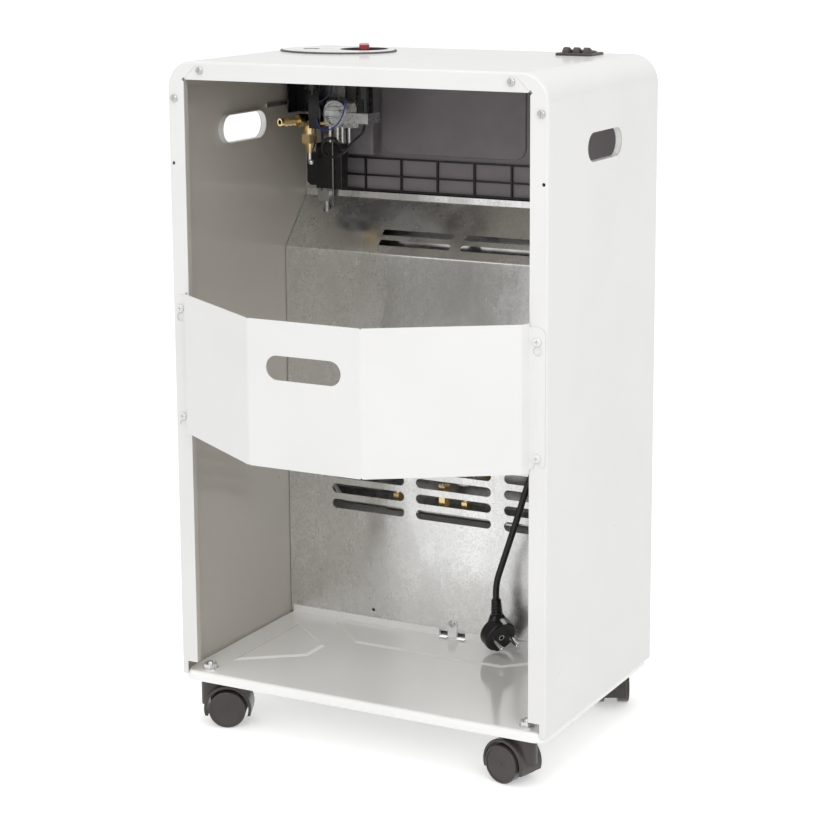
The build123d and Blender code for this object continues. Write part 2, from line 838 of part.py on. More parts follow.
# ---------------------------------------------------------------- burner
def plaque_xs():
    return [burner_x + i * plaque_pitch for i in (-1, 0, 1)]


def ceramic_plaque(x):
    y1 = plaque_front_y + plaque_t
    plaque = block(x - plaque_w / 2, x + plaque_w / 2, plaque_front_y, y1, plaque_low, plaque_low + plaque_h)
    return fillet(plaque.edges().filter_by(Axis.Y), 2.0)


def burner_box():
    half = 1.5 * plaque_pitch + 4
    y0 = plaque_front_y + 1.5
    y1 = y0 + burner_deep
    w = burner_wall
    low = plaque_low - burner_rim
    high = plaque_low + plaque_h + burner_rim
    box = block(burner_x - half, burner_x + half, y0, y1, low, high)
    for x in plaque_xs():
        half_plaque = plaque_w / 2
        seat_y = plaque_front_y + plaque_t + plaque_seat
        box -= block(x - half_plaque - plaque_seat, x + half_plaque + plaque_seat, y0 - 1, seat_y,
                     plaque_low - plaque_seat, plaque_low + plaque_h + plaque_seat)
        box -= block(x - half_plaque + 4, x + half_plaque - 4, y0 + 5, y1 - w, plaque_low + 5,
                     plaque_low + plaque_h - 5)
        box += rod((x, venturi_y, venturi_low), (x, venturi_y, low + 1), venturi_r)
        box += cone((x, venturi_y, venturi_low), (x, venturi_y, venturi_low + 8),
                    venturi_r + venturi_flare, venturi_r)
        box -= rod((x, venturi_y, venturi_low - 1), (x, venturi_y, low + 6), venturi_r - w)
    for side in (-1, 1):
        x0 = burner_x + side * (half - 1)
        x1 = burner_x + side * (half + 12)
        box += block(min(x0, x1), max(x0, x1), y0 + 0.3, y0 + w, low + 20, high - 20)
    return box


def gas_injectors():
    parts = []
    low = manifold_z + manifold_r + 2
    for x in plaque_xs():
        body = hexagon((x, venturi_y, low), (x, venturi_y, low + injector_h), injector_w)
        body += cone((x, venturi_y, low + injector_h), (x, venturi_y, low + injector_h + 7), 3.6, 2.0)
        parts.append(body)
    x = burner_x + tee_offset
    parts.append(hexagon((x, venturi_y, low), (x, venturi_y, low + tee_h), injector_w + 1))
    return Compound(children=parts)


def gas_manifold():
    x0 = burner_x - manifold_half
    x1 = burner_x + manifold_half
    pipe = rod((x0, venturi_y, manifold_z), (x1, venturi_y, manifold_z), manifold_r)
    for x in plaque_xs() + [burner_x + tee_offset]:
        pipe += rod((x, venturi_y, manifold_z), (x, venturi_y, manifold_z + manifold_r + 2), injector_w / 2)
    y1 = partition_y - partition_t - seat_gap
    for x in (burner_x - 60, burner_x + 60):
        pipe += block(x - 7, x + 7, venturi_y, y1, manifold_z - 1.0, manifold_z + 1.0)
    return pipe


def reflector():
    half = 1.5 * plaque_pitch + 17
    low = plaque_low - 22
    high = plaque_low + plaque_h + 10
    y_back = plaque_front_y + 1.2
    y_front = front_y + sheet + seat_gap
    t = reflector_t
    outer = [frame_face(half, low, high, y_back, 0),
             frame_face(reflector_half_w, reflector_low, reflector_high, y_front, 0)]
    inner = [frame_face(half, low, high, y_back, t),
             frame_face(reflector_half_w, reflector_low, reflector_high, y_front, t)]
    body = loft(outer) - loft(inner)
    body += frame_plate(half, low, high, half - 9, plaque_low - 2, high - 8, y_back - t, y_back)
    body += frame_plate(reflector_half_w + reflector_rim, reflector_low - reflector_rim,
                        reflector_high + 6, reflector_half_w - t, reflector_low + t,
                        reflector_high - t, y_front, y_front + t)
    body -= rod((pilot_x, pilot_y + 2, low - 60), (pilot_x, pilot_y + 2, low - 4), pilot_tube_r + 1.6)
    return body


def frame_face(half, low, high, y, inset):
    place = Plane(origin=(0, y, (low + high) / 2), x_dir=(1, 0, 0), z_dir=(0, -1, 0))
    return place * Rectangle(2 * (half - inset), high - low - 2 * inset)


def frame_plate(half, low, high, hole_half, hole_low, hole_high, y0, y1):
    plate = block(-half, half, y0, y1, low, high)
    return plate - block(-hole_half, hole_half, y0 - 1, y1 + 1, hole_low, hole_high)


# ---------------------------------------------------------------- gas valve group
def gas_valve():
    body = block(valve_x0, valve_x1, valve_y0, valve_y1, valve_z0, valve_z1)
    body = fillet(body.edges().filter_by(Axis.X), 4.0)
    body += rod((can_x, valve_y1 - 6, can_z), (can_x, can_y, can_z), can_r)
    body -= rod((can_x, can_y - 3, can_z), (can_x, can_y + 1, can_z), can_r - 2.0)
    body += block(can_x - can_r + 1, can_x + can_r - 1, can_y - 4, can_y - 1, can_z - 0.5, can_z + 3.5)
    for x in port_xs:
        body += rod((x, valve_y1 - 3, box_high + 2.5), (x, valve_y1 - 3, valve_z0 + 3), port_r)
    arm_z = valve_z0 + 8
    body += block(knob_x - 8, valve_x0 + 3, valve_y1 - 6, knob_y + 8, arm_z, arm_z + 11)
    body -= rod((knob_x, knob_y, arm_z + 3), (knob_x, knob_y, arm_z + 12), spindle_r + run_gap)
    return body


def valve_bracket():
    y0 = bracket_y - bracket_t
    top = inner_top - seat_gap
    side = inner_x - seat_gap
    plate = block(bracket_x0, bracket_x1, y0, bracket_y, bracket_low, top)
    plate += block(bracket_x0, bracket_x1, y0, bracket_y + 16, top - bracket_t, top)
    plate += block(bracket_x0, side, y0, bracket_y, 578.0, 596.0)
    plate += block(side - bracket_t, side, y0, -50.0, 580.0, 585.0)
    plate -= block(bracket_x0 + 5, bracket_x1 + 1, y0 - 1, bracket_y + 1, box_high + 1, valve_z0 - 1)
    return plate


def valve_cover():
    # black mouldings: a hood over the gas inlet and the column under the knob
    t = cover_wall
    x0 = valve_x1 + 0.8
    x1 = x0 + 13.0
    y0 = bracket_y + seat_gap
    high = 622.0
    near = block(x0, x1, y0, tee_y + 12, valve_z0, high)
    near -= block(x0 + t, x1 - t, y0 + t, tee_y + 12 - t, valve_z0 - 1, high - t)
    far = block(x1 - t, 202.0, y0, tee_y - 5, valve_z0 + 14, high)
    far -= block(x1, 202.0 - t, y0 + t, tee_y - 4, valve_z0 + 13, high - t)
    far += block(x1 + 9, x1 + 10.2, y0 + t - 0.2, tee_y - 8, valve_z0 + 20, high - 1)
    hood = near + far
    hood -= rod((x0 - 1, tee_y, tee_z), (x1 + 1, tee_y, tee_z), nut_across / 2 + 1.4)
    column = rod((knob_x, knob_y, valve_z0 + 19.3), (knob_x, knob_y, 625.0), column_r)
    column -= rod((knob_x, knob_y, 500), (knob_x, knob_y, 640), spindle_r + 0.4)
    column += block(knob_x - 3.5, knob_x + 3.5, knob_y + 5, knob_y + column_r + 0.6, 578.0, 592.0)
    return Compound(children=[hood, column])


def barb_point(distance):
    turn = math.radians(barb_turn)
    return (tee_x + distance * math.sin(turn), tee_y + distance * math.cos(turn), tee_z)


def hose_elbow():
    body = rod((tee_x, tee_y, tee_z + 5.5), (tee_x, tee_y, tee_z - 8), 6.5)
    body += rod((valve_x1 + seat_gap, tee_y - 3, tee_z), (tee_x, tee_y - 3, tee_z), 6.0)
    body += hexagon(barb_point(4), barb_point(17), 13.0)
    body += rod(barb_point(16), barb_point(barb_len), nozzle_r - 0.7)
    for i in range(3):
        start = 22 + 5.2 * i
        body += cone(barb_point(start), barb_point(start + 4.4), nozzle_r + 1.0, nozzle_r - 0.5)
    body += rod(barb_point(barb_len - 3), barb_point(barb_len), nozzle_r)
    return body - rod(barb_point(15), barb_point(barb_len + 1), nozzle_bore_r)


def test_nipple():
    x, y = tee_x, tee_y
    z = tee_z - 8
    nut_high = z - 7
    nut_low = nut_high - 10
    body = rod((x, y, nut_low), (x, y, z), nut_across * 0.43)
    body += hexagon((x, y, nut_low), (x, y, nut_high), nut_across)
    body += cone((x, y, nut_low - 11), (x, y, nut_low), 2.8, 6.8)
    low = nut_low - 11
    stem = rod((x, y, low - 8), (x, y, low), 2.2)
    return Compound(children=[body, stem + Pos(x - 1.6, y, low - 9.6) * Sphere(3.3)])


def terminal_box():
    y0 = bracket_y + seat_gap
    box = block(box_x0, box_x1, y0, box_y, box_low, box_high)
    box = fillet(box.edges().filter_by(Axis.Z), 1.5)
    step = block(box_x1 - 1, box_x1 + 12, y0, box_y - 2, box_low + 2.5, box_high - 11)
    step = chamfer(step.edges().filter_by(Axis.Y).group_by(Axis.X)[-1].group_by(Axis.Z)[0], 4.0)
    return box + step


def gas_pipe():
    # upper and lower runs of the burner pipe, with the union that sits on the partition
    x, y = pipe_x, pipe_y
    union_low = 472.0
    union_high = 483.5
    rise = box_high + 6
    inlet = (valve_x1 - 3, valve_y0 + 7)
    upper = bent_path([(x, y, union_high), (x, y, rise), (inlet[0], inlet[1], rise),
                       (inlet[0], inlet[1], valve_z0 - seat_gap)], [9.0, 5.5])
    lower = bent_path([(x, y, union_low), (x, y, 455.0), (x, -100.0, 431.0), (x, -100.0, manifold_z + 34),
                       (x - 28, venturi_y, manifold_z), (burner_x + manifold_half + 1, venturi_y, manifold_z)],
                      [10.0, 10.0, 20.0, 16.0])
    body = block(x - 5, x + 9, y - 5, y + 5, union_low, union_high)
    body += tube(upper, pipe_r) + tube(lower, pipe_r)
    body += hexagon((x, y, union_high), (x, y, union_high + 4), 9.0)
    return body + hexagon((x + 7.5, y + 1, union_high), (x + 7.5, y + 1, union_high + 4), 5.5)


def pilot_tube():
    bx, by, bz = pilot_bend
    x = 149.0
    y = box_y + pilot_tube_r + seat_gap
    z = manifold_z + 27
    points = [(x, y, box_high + 2), (x, y, box_low - 3.5), (bx, by, bz), (bx - 3, by + 8, bz - 26),
              (bx - 9, -100.0, 410.0), (bx - 9, -100.0, z + 40), (bx - 20, -115.0, z), (pilot_x + 14, -115.0, z),
              (pilot_x, pilot_y + 2, z + 4), (pilot_x, pilot_y + 2, plaque_low - 21 - seat_gap)]
    return tube(bent_path(points, [5.0, 8.0, 14.0, 20.0, 12.0, 12.0, 6.0, 6.0]), pilot_tube_r)


# ---------------------------------------------------------------- controls on the top
def control_plate():
    top = cabinet_h + plate_t
    plate = extrude(Pos(plate_x, plate_y, cabinet_h) * Ellipse(plate_a, plate_b), plate_t)
    plate = fillet(plate.edges().group_by(Axis.Z)[-1], 1.2)
    sink = button_sink()
    plate += rod((knob_x, knob_y, top - recess_depth - 2), (knob_x, knob_y, top - 0.5), recess_r + 2)
    plate += rod((button_x, button_y, top - sink - 1.5), (button_x, button_y, top - 0.5), button_r + 3.0)
    plate -= rod((knob_x, knob_y, top - recess_depth), (knob_x, knob_y, top + 1), recess_r)
    plate -= rod((knob_x, knob_y, top - 30), (knob_x, knob_y, top), spindle_r + 1.5)
    plate -= rod((button_x, button_y, top - sink), (button_x, button_y, top + 1), button_r + 1.0)
    return plate - rod((button_x, button_y, top - 30), (button_x, button_y, top), 4.0)


def control_knob():
    low = cabinet_h + plate_t - recess_depth + spindle_travel + 1.0
    dial = rod((knob_x, knob_y, low), (knob_x, knob_y, low + dial_t), dial_r)
    dial = fillet(dial.edges().group_by(Axis.Z)[-1], 2.0)
    grip = block(knob_x - grip_w / 2, knob_x + grip_w / 2, knob_y - grip_l / 2, knob_y + grip_l / 2,
                 low, knob_top)
    grip = fillet(grip.edges().filter_by(Axis.Z), 4.5)
    grip = fillet(grip.edges().group_by(Axis.Z)[-1], 1.5)
    axis = Axis((knob_x, knob_y, 0), (0, 0, 1))
    dial += grip.rotate(axis, knob_turn)
    return dial - rod((knob_x, knob_y, low - 1), (knob_x, knob_y, low + 8), spindle_r + run_gap)


def valve_spindle():
    low = valve_z0 + 11 + spindle_travel + seat_gap
    high = cabinet_h + plate_t - recess_depth + spindle_travel + 8.5
    return rod((knob_x, knob_y, low), (knob_x, knob_y, high), spindle_r)


def igniter_button():
    low = cabinet_h + plate_t - button_sink() + button_travel + seat_gap
    body = rod((button_x, button_y, low), (button_x, button_y, cabinet_h + plate_t - 0.4), button_r)
    body = fillet(body.edges().group_by(Axis.Z)[-1], 1.2)
    return body + rod((button_x, button_y, low - 9), (button_x, button_y, low + 1), 3.5)


def button_sink():
    return button_travel + 3.0


def piezo_igniter():
    top = cabinet_h + plate_t - button_sink() - 1.5 - seat_gap
    body = rod((button_x, button_y, top - 34), (button_x, button_y, top), piezo_r)
    body += rod((button_x, button_y, top - 40), (button_x, button_y, top - 34), 3.0)
    return body - rod((button_x, button_y, top - 10 - button_travel), (button_x, button_y, top + 1), 3.8)


def rocker_xs():
    return [switch_x + (i - (rocker_count - 1) / 2) * rocker_pitch for i in range(rocker_count)]


def rocker(x):
    z = rocker_pivot_z
    body = rod((x - rocker_w / 2, switch_y, z), (x + rocker_w / 2, switch_y, z), rocker_r)
    dip = z + 0.62 * rocker_r
    reach = rocker_r + 4
    rise = math.tan(math.radians(rocker_rise)) * reach
    fall = math.tan(math.radians(rocker_fall)) * reach
    above = [(switch_y, dip), (switch_y + reach, dip + rise), (switch_y + reach, z + 40),
             (switch_y - reach, z + 40), (switch_y - reach, dip - fall)]
    cut = Plane(origin=(x - 10, 0, 0), x_dir=(0, 1, 0), z_dir=(1, 0, 0)) * make_face(
        Polyline(*above, close=True))
    body -= extrude(cut, 20)
    body -= block(x - 10, x + 10, switch_y - 30, switch_y + 30, z - 30, z)
    sides = [e for e in body.edges() if e.center().Z > z + 3 and abs(e.center().X - x) > rocker_w / 2 - 0.1]
    body = chamfer(sides, 1.3)
    half = rocker_w / 2 + 0.5
    return body + rod((x - half, switch_y, z), (x + half, switch_y, z), 2.2)


def switch_half_d():
    return rocker_r + 0.4 + switch_wall


def switch_block():
    half_d = switch_half_d()
    half_w = switch_w / 2
    z = rocker_pivot_z
    bezel_d = half_d + bezel_rim
    bezel = block(switch_x - bezel_w / 2, switch_x + bezel_w / 2, switch_y - bezel_d, switch_y + bezel_d,
                  cabinet_h, cabinet_h + bezel_t)
    bezel = fillet(bezel.edges().filter_by(Axis.Z), 3.0)
    whole = fillet(bezel.edges().group_by(Axis.Z)[-1], 0.9)
    whole += block(switch_x - half_w, switch_x + half_w, switch_y - half_d, switch_y + half_d,
                   switch_low, cabinet_h + 1)
    for x in rocker_xs():
        half = rocker_w / 2 + 0.3
        well = rod((x - half, switch_y, z), (x + half, switch_y, z), rocker_r + 0.4)
        whole -= well - block(x - 20, x + 20, switch_y - 30, switch_y + 30, z - 40, z - 8)
        whole -= rod((x - half - 0.4, switch_y, z), (x + half + 0.4, switch_y, z), 2.25)
        for dy in (-6, 6):
            whole += block(x - 0.4, x + 0.4, switch_y + dy - 2.4, switch_y + dy + 2.4, switch_low - 7, switch_low)
    return whole


# ---------------------------------------------------------------- fan heater
def fan_housing():
    w = fan_wall
    box = block(fan_x0, fan_x1, fan_y0, fan_y1, fan_low, fan_high)
    box -= block(fan_x0 + w, fan_x1 - w, fan_y0 - 1, fan_y1 - w, fan_low + w, fan_high - w)
    for i in range(5):
        x = fan_x0 + 30 + i * 38
        box -= block(x, x + 28, fan_y1 - 3, fan_y1 + 1, 66, 104)
    box -= rod((fan_x0 - 1, rotor_y, rotor_z), (fan_x1 + 1, rotor_y, rotor_z), rotor_shaft_r + run_gap)
    for x in (fan_x0 + 12, fan_x1 - 26):
        box += block(x, x + 14, fan_y0, fan_y1, pan_top + seat_gap, fan_low + 0.5)
    return box


def fan_rotor():
    x0 = fan_x0 + 6
    x1 = fan_x1 - 6
    rotor = rod((fan_x0 - 4, rotor_y, rotor_z), (fan_x1 + 12, rotor_y, rotor_z), rotor_shaft_r)
    for x in (x0, (x0 + x1) / 2, x1 - 1.5):
        rotor += rod((x, rotor_y, rotor_z), (x + 1.5, rotor_y, rotor_z), rotor_r)
    for i in range(rotor_blades):
        turn = 360 / rotor_blades * i
        blade = Pos((x0 + x1) / 2, 0, rotor_r - 3.2) * Rot(28, 0, 0) * Box(x1 - x0 - 0.5, 0.9, 5.0)
        rotor += Pos(0, rotor_y, rotor_z) * Rot(turn, 0, 0) * blade
    return rotor


def fan_motor():
    x0 = fan_x1 + 2
    body = rod((x0, rotor_y, rotor_z), (x0 + motor_len, rotor_y, rotor_z), motor_r)
    body = fillet(body.edges().filter_by(GeomType.CIRCLE), 2.0)
    body -= rod((x0 - 1, rotor_y, rotor_z), (x0 + 12, rotor_y, rotor_z), rotor_shaft_r + run_gap)
    body += block(fan_x1 + 0.3, x0 + 2, rotor_y - 14, rotor_y + 14, rotor_z - 16, rotor_z - 9)
    return body


def heating_element():
    # sheathed rods in a frame, with fins, held by an ear at each end
    ear = 14.0
    rim = 4.0
    x0 = fan_x0 + ear
    x1 = fan_x1 - ear
    y = heater_y
    frame = block(x0, x1, y - 5, y + 5, heater_low, heater_high)
    frame -= block(x0 + rim, x1 - rim, y - 6, y + 6, heater_low + rim, heater_high - rim)
    pitch = (heater_high - heater_low - 4 * rim) / (heater_rods - 1)
    for i in range(heater_rods):
        z = heater_low + 2 * rim + i * pitch
        frame += rod((x0 + rim / 2, y, z), (x1 - rim / 2, y, z), 2.2)
    fins = int((x1 - x0 - 20) / heater_fin_pitch)
    for i in range(fins):
        x = x0 + 10 + i * heater_fin_pitch
        frame += block(x, x + 0.8, y - 4.5, y + 4.5, heater_low + rim - 1, heater_high - rim + 1)
    middle = (heater_low + heater_high) / 2
    for x in (fan_x0 + fan_wall + seat_gap, x1):
        frame += block(x, x + ear - fan_wall - seat_gap, y - 2, y + 2, middle - 3, middle + 3)
    return frame


# ---------------------------------------------------------------- pilot
def pilot_burner():
    # burner tube on a folded shelf that stands in front of the reflector's back
    x, y = pilot_x, pilot_y
    shelf = plaque_low - 21
    back = plaque_front_y + 1.2 - reflector_t - seat_gap
    body = block(x - 16, x + 16, y - 8, back, shelf, shelf + 1.2)
    body += block(x - 16, x + 16, back - 1.2, back, shelf, plaque_low - 4)
    body += rod((x, y, shelf + 1), (x, y, shelf + pilot_h), pilot_r)
    body -= rod((x, y, shelf + pilot_h - 8), (x, y, shelf + pilot_h + 1), pilot_r - 1.4)
    for side in (-1, 1):
        body -= rod((x + side * probe_pitch, y - 2, shelf - 1), (x + side * probe_pitch, y - 2, shelf + 2), 2.5)
    return body


def spark_electrode():
    x, y, z = pilot_x - probe_pitch, pilot_y - 2, plaque_low - 29
    return rod((x, y, z), (x, y, z + 26), 2.2) + rod((x, y, z + 26), (x, y, z + 36), 0.8)


def thermocouple():
    x, y, z = pilot_x + probe_pitch, pilot_y - 2, plaque_low - 31
    return rod((x, y, z), (x, y, z + 26), 2.2) + rod((x, y, z + 26), (x, y, z + 38), 1.4)


# ---------------------------------------------------------------- leads inside
def ignition_lead():
    # hangs from the knob's column and loops in front of the black box before it enters it
    y = can_y - 3
    end = (134.0, box_y + seat_gap, 534.0)
    points = [(knob_x + 1, knob_y, 565.2), (knob_x + 1, knob_y, 556.0), (113.6, y + 2, 546.5),
              (124.0, y + 2, 534.0), (139.0, y + 2, 526.0), (151.5, y + 2, 530.0), (155.0, y, 540.0),
              (148.0, y - 1, 547.5), (138.0, y - 2.5, 546.0), (end[0], y - 8, end[2]), end]
    return tube(bent_path(points, [5.0, 8.0, 12.0, 9.0, 6.0, 5.0, 4.0, 4.0, 3.0]), 1.5)


def valve_leads():
    return Compound(children=[ignition_lead()] + sensor_wires())


def sensor_wires():
    y = can_y + 7.5
    blue = [(119.0, y, 590.0), (119.5, y, 580.0), (126.0, y, 566.5), (135.0, y, 558.5), (145.0, y, 556.5),
            (153.0, y, 561.0), (155.0, y, 569.0)]
    dark = [(138.0, y - 5, 618.0), (138.0, y - 5, 604.0), (136.0, y, 598.0), (143.5, y, 590.5), (153.0, y, 586.0)]
    wires = [tube(bent_path(blue, [8.0, 10.0, 8.0, 6.0, 4.0]), 0.8)]
    wires.append(tube(bent_path(dark, [3.0, 3.0, 5.0]), 0.8))
    return wires


# ---------------------------------------------------------------- mains lead
def cord_gland():
    y = partition_y
    z = gland_height()
    body = rod((gland_x, y - 9, z), (gland_x, y + 12, z), gland_r)
    body += hexagon((gland_x, y + seat_gap, z), (gland_x, y + 6, z), gland_nut)
    body += hexagon((gland_x, y - partition_t - 5.3, z), (gland_x, y - partition_t - seat_gap, z), gland_nut)
    body += cone((gland_x, y + gland_len - 5, z), (gland_x, y + gland_len, z), gland_r, cord_r + 1.2)
    return body - rod((gland_x, y - 10, z), (gland_x, y + gland_len - 8, z), cord_r + seat_gap)


def coil_radius(turn):
    # the spiral winds in over its first half and out again over its second
    half = coil_turns / 2
    inwards = turn if turn <= half else coil_turns - turn
    return coil_mean_r + coil_step * (half / 2 - inwards)


def coil_point(turn):
    # the second layer lies nearer the middle of the cabinet, reached in the half turn of the reversal
    climb = min(max((turn - (coil_turns / 2 - 0.25)) / 0.5, 0.0), 1.0)
    angle = 2 * math.pi * turn - math.pi / 2
    radius = coil_radius(turn)
    x = coil_x + coil_step * climb * climb * (3 - 2 * climb)
    return Vector(x, coil_y + radius * math.cos(angle), coil_z + radius * math.sin(angle))


def coil_tangent(turn):
    step = 0.0005
    return (coil_point(turn + step) - coil_point(turn - step)).normalized()


def gland_height():
    return coil_point(0).Z


def biarc(p0, t0, p1, t1):
    # two arcs that leave p0 along t0 and reach p1 along t1
    chord = p1 - p0
    turn = 2 * (1 - t0.dot(t1))
    cross = chord.dot(t0 + t1)
    reach = (-cross + math.sqrt(cross * cross + turn * chord.dot(chord))) / turn
    a = p0 + t0 * reach
    b = p1 - t1 * reach
    middle = (a + b) * 0.5
    return [TangentArc(p0, middle, tangent=t0), TangentArc(middle, p1, tangent=b - a)]


def coil_ends():
    run = 2 * cord_r
    return coil_point(0) - Vector(0, 1, 0) * run, coil_point(coil_turns) - Vector(0, 1, 0) * run


def coil_path():
    steps = round(coil_turns * 4)
    arcs = []
    for i in range(steps):
        p0 = coil_point(i / 4)
        p1 = coil_point((i + 1) / 4)
        t0 = Vector(0, 1, 0) if i == 0 else coil_tangent(i / 4)
        t1 = Vector(0, -1, 0) if i == steps - 1 else coil_tangent((i + 1) / 4)
        arcs += biarc(p0, t0, p1, t1)
    lead_in, lead_out = coil_ends()
    return Wire([Line(lead_in, coil_point(0))] + arcs + [Line(coil_point(coil_turns), lead_out)])


def coil_gap():
    # least gap between the coil's own turns, measured on points
    per_turn = 48
    points = [coil_point(i / per_turn) for i in range(round(per_turn * coil_turns) + 1)]
    least = cabinet_h
    for i, a in enumerate(points):
        for b in points[i + per_turn // 2:]:
            least = min(least, (a - b).length)
    return least - 2 * cord_r


def cord_tie():
    outer_r = coil_radius(0.25)
    inner_r = coil_radius(1.25)
    gap = 0.4
    y0 = coil_y + inner_r - cord_r - gap
    y1 = coil_y + outer_r + cord_r + gap
    x0 = coil_x - cord_r - gap
    x1 = coil_x + coil_step + cord_r + gap
    t = 1.2
    band = block(x0 - t, x1 + t, y0 - t, y1 + t, coil_z - 3, coil_z + 3)
    band = fillet(band.edges().filter_by(Axis.Z), 3.6)
    hole = block(x0, x1, y0, y1, coil_z - 4, coil_z + 4)
    return band - fillet(hole.edges().filter_by(Axis.Z), 2.4)


def lower_cord_points():
    start = coil_ends()[1]
    end = plug_top(0)
    straight = plug_top(15)
    return [
        (start.X, start.Y, start.Z),
        (start.X, start.Y - 20.0, start.Z),
        (start.X + 10.0, start.Y - 38.0, start.Z - 11.0),
        (-156.0, -68.0, 280.0),
        (-126.0, -66.0, 246.0),
        (-103.0, -60.0, 208.0),
        (-89.0, -58.0, 160.0),
        (-71.0, -58.0, 106.0),
        straight,
        end,
    ]


def plug_place(direction):
    return Plane(origin=(plug_x, plug_y, plug_z), x_dir=plug_pin_dir, z_dir=direction)


def plug_top(beyond):
    top = Vector(plug_x, plug_y, plug_z) + Vector(*plug_neck_dir).normalized() * (plug_neck + beyond)
    return (top.X, top.Y, top.Z)


def plug_body():
    # round plug: the pins leave along its axis, the moulded strain relief along the neck
    face = Plane(origin=(-plug_t / 2, 0, 0), x_dir=(0, 1, 0), z_dir=(1, 0, 0)) * Circle(plug_r)
    disc = extrude(face, plug_t)
    disc = fillet(disc.edges().filter_by(GeomType.CIRCLE), 2.5)
    disc -= Pos(plug_t / 2, 0, 0) * Rot(0, 90, 0) * Cylinder(2.4, 8)
    body = plug_place(plug_side_dir) * disc
    neck = loft([Pos(0, 0, 8) * RectangleRounded(13, 26, 5), Pos(0, 0, 21) * RectangleRounded(12, 14, 4.5)])
    ribs = 5
    pitch = (plug_neck - 22) / ribs
    neck += Pos(0, 0, (plug_neck + 14) / 2) * Cylinder(cord_r + 1.0, plug_neck - 14)
    for i in range(ribs):
        neck += Pos(0, 0, 22 + i * pitch + 1) * Cylinder(cord_r + 2.8 - 0.25 * i, 2.0)
    upright = Plane(origin=(plug_x, plug_y, plug_z), x_dir=(0.857, -0.516, -0.049), z_dir=plug_neck_dir)
    return body + upright * neck


def plug_pins():
    place = plug_place(plug_side_dir)
    pins = []
    for side in (-1, 1):
        y = side * pin_pitch / 2
        pin = rod((plug_t / 2, y, 0), (plug_t / 2 + pin_len, y, 0), pin_r)
        pins.append(place * fillet(far_edges(pin, Plane.YZ), 1.6))
    return Compound(children=pins)


# ---------------------------------------------------------------- whole object
def check_cord(name, points, shape):
    radii = free_radii(points)
    path = bent_path(points, radii)
    ratio = shape.volume / (math.pi * cord_r ** 2 * path.length)
    print(f"{name}: length {path.length:.1f}, radii {[round(r, 1) for r in radii]}, volume ratio {ratio:.4f}")


save("cabinet_shell", cabinet_shell())
save("panel_screws", panel_screws())
save("base_pan", base_pan())
save("caster_stems", caster_stems())
for corner in caster_turn:
    save(f"caster_hood_{corner}", caster_place(corner) * caster_hood())
    save(f"caster_wheel_{corner}_a", caster_place(corner) * caster_wheel(1))
    save(f"caster_wheel_{corner}_b", caster_place(corner) * caster_wheel(-1))
save("partition", partition())
save("bottle_retainer", bottle_retainer())
save("retainer_pegs", retainer_pegs())
save("front_fascia", fascia_cap())
save("fascia_liner", fascia_liner())
save("lower_front_panel", lower_front_panel())
save("wire_guard", wire_guard())
save("ceramic_plaques", Compound(children=[ceramic_plaque(x) for x in plaque_xs()]))
save("burner_box", burner_box())
save("gas_injectors", gas_injectors())
save("gas_manifold", gas_manifold())
save("reflector", reflector())
save("gas_valve", gas_valve())
save("valve_bracket", valve_bracket())
save("valve_cover", valve_cover())
save("hose_elbow", hose_elbow())
save("test_nipple", test_nipple())
save("terminal_box", terminal_box())
save("gas_pipe", gas_pipe())
save("control_plate", control_plate())
save("control_knob", control_knob())
save("valve_spindle", valve_spindle())
save("igniter_button", igniter_button())
save("piezo_igniter", piezo_igniter())
save("switch_block", switch_block())
for i, x in enumerate(rocker_xs()):
    save(f"rocker_{i + 1}", rocker(x))
save("fan_housing", fan_housing())
save("fan_rotor", fan_rotor())
save("fan_motor", fan_motor())
save("heating_element", heating_element())
save("pilot_burner", pilot_burner())
save("spark_electrode", spark_electrode())
save("thermocouple", thermocouple())
save("valve_leads", valve_leads())
save("pilot_tube", pilot_tube())
save("cord_gland", cord_gland())
coil_route = coil_path()
coil = tube(coil_route, cord_r)
lower_points = lower_cord_points()
lower = tube(bent_path(lower_points, free_radii(lower_points)), cord_r)
upper_start = (gland_x, partition_y + gland_len, gland_height())
upper_end = coil_ends()[0]
save("cord_coil", coil)
save("cord_tie", cord_tie())
save("cord_upper", rod(upper_start, (upper_end.X, upper_end.Y, upper_end.Z), cord_r))
save("cord_lower", lower)
save("plug_body", plug_body())
save("plug_pins", plug_pins())

check_cord("cord_lower", lower_points, lower)
coil_ratio = coil.volume / (math.pi * cord_r ** 2 * coil_route.length)
print(f"cord_coil: length {coil_route.length:.1f}, self gap {coil_gap():.2f}, volume ratio {coil_ratio:.4f}")
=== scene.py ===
import bpy
import bmesh
import math
from mathutils import Matrix, Vector
from mathutils.geometry import tessellate_polygon


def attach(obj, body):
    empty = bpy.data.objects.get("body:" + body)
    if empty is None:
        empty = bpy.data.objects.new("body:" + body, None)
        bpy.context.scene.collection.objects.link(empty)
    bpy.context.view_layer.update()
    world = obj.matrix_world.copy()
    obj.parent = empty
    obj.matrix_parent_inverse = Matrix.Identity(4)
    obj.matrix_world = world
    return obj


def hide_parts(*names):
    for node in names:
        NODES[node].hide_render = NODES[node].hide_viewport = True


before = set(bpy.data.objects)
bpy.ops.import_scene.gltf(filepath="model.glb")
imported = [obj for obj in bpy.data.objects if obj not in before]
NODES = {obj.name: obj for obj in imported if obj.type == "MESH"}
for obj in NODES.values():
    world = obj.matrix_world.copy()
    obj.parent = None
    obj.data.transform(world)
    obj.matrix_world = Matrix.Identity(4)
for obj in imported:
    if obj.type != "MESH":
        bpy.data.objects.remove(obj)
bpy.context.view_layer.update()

# Places are written in the casing's own millimetres, as the part's source has them: x and y from
# the middle of the casing, z from its lower edge. at() turns them into metres in the frame.
ORIGIN_Y = -36.75
ORIGIN_Z = 54.5


def at(x, y, z):
    return Vector((x, y + ORIGIN_Y, z + ORIGIN_Z)) / 1000


def frame_y(y):
    return at(0, y, 0).y


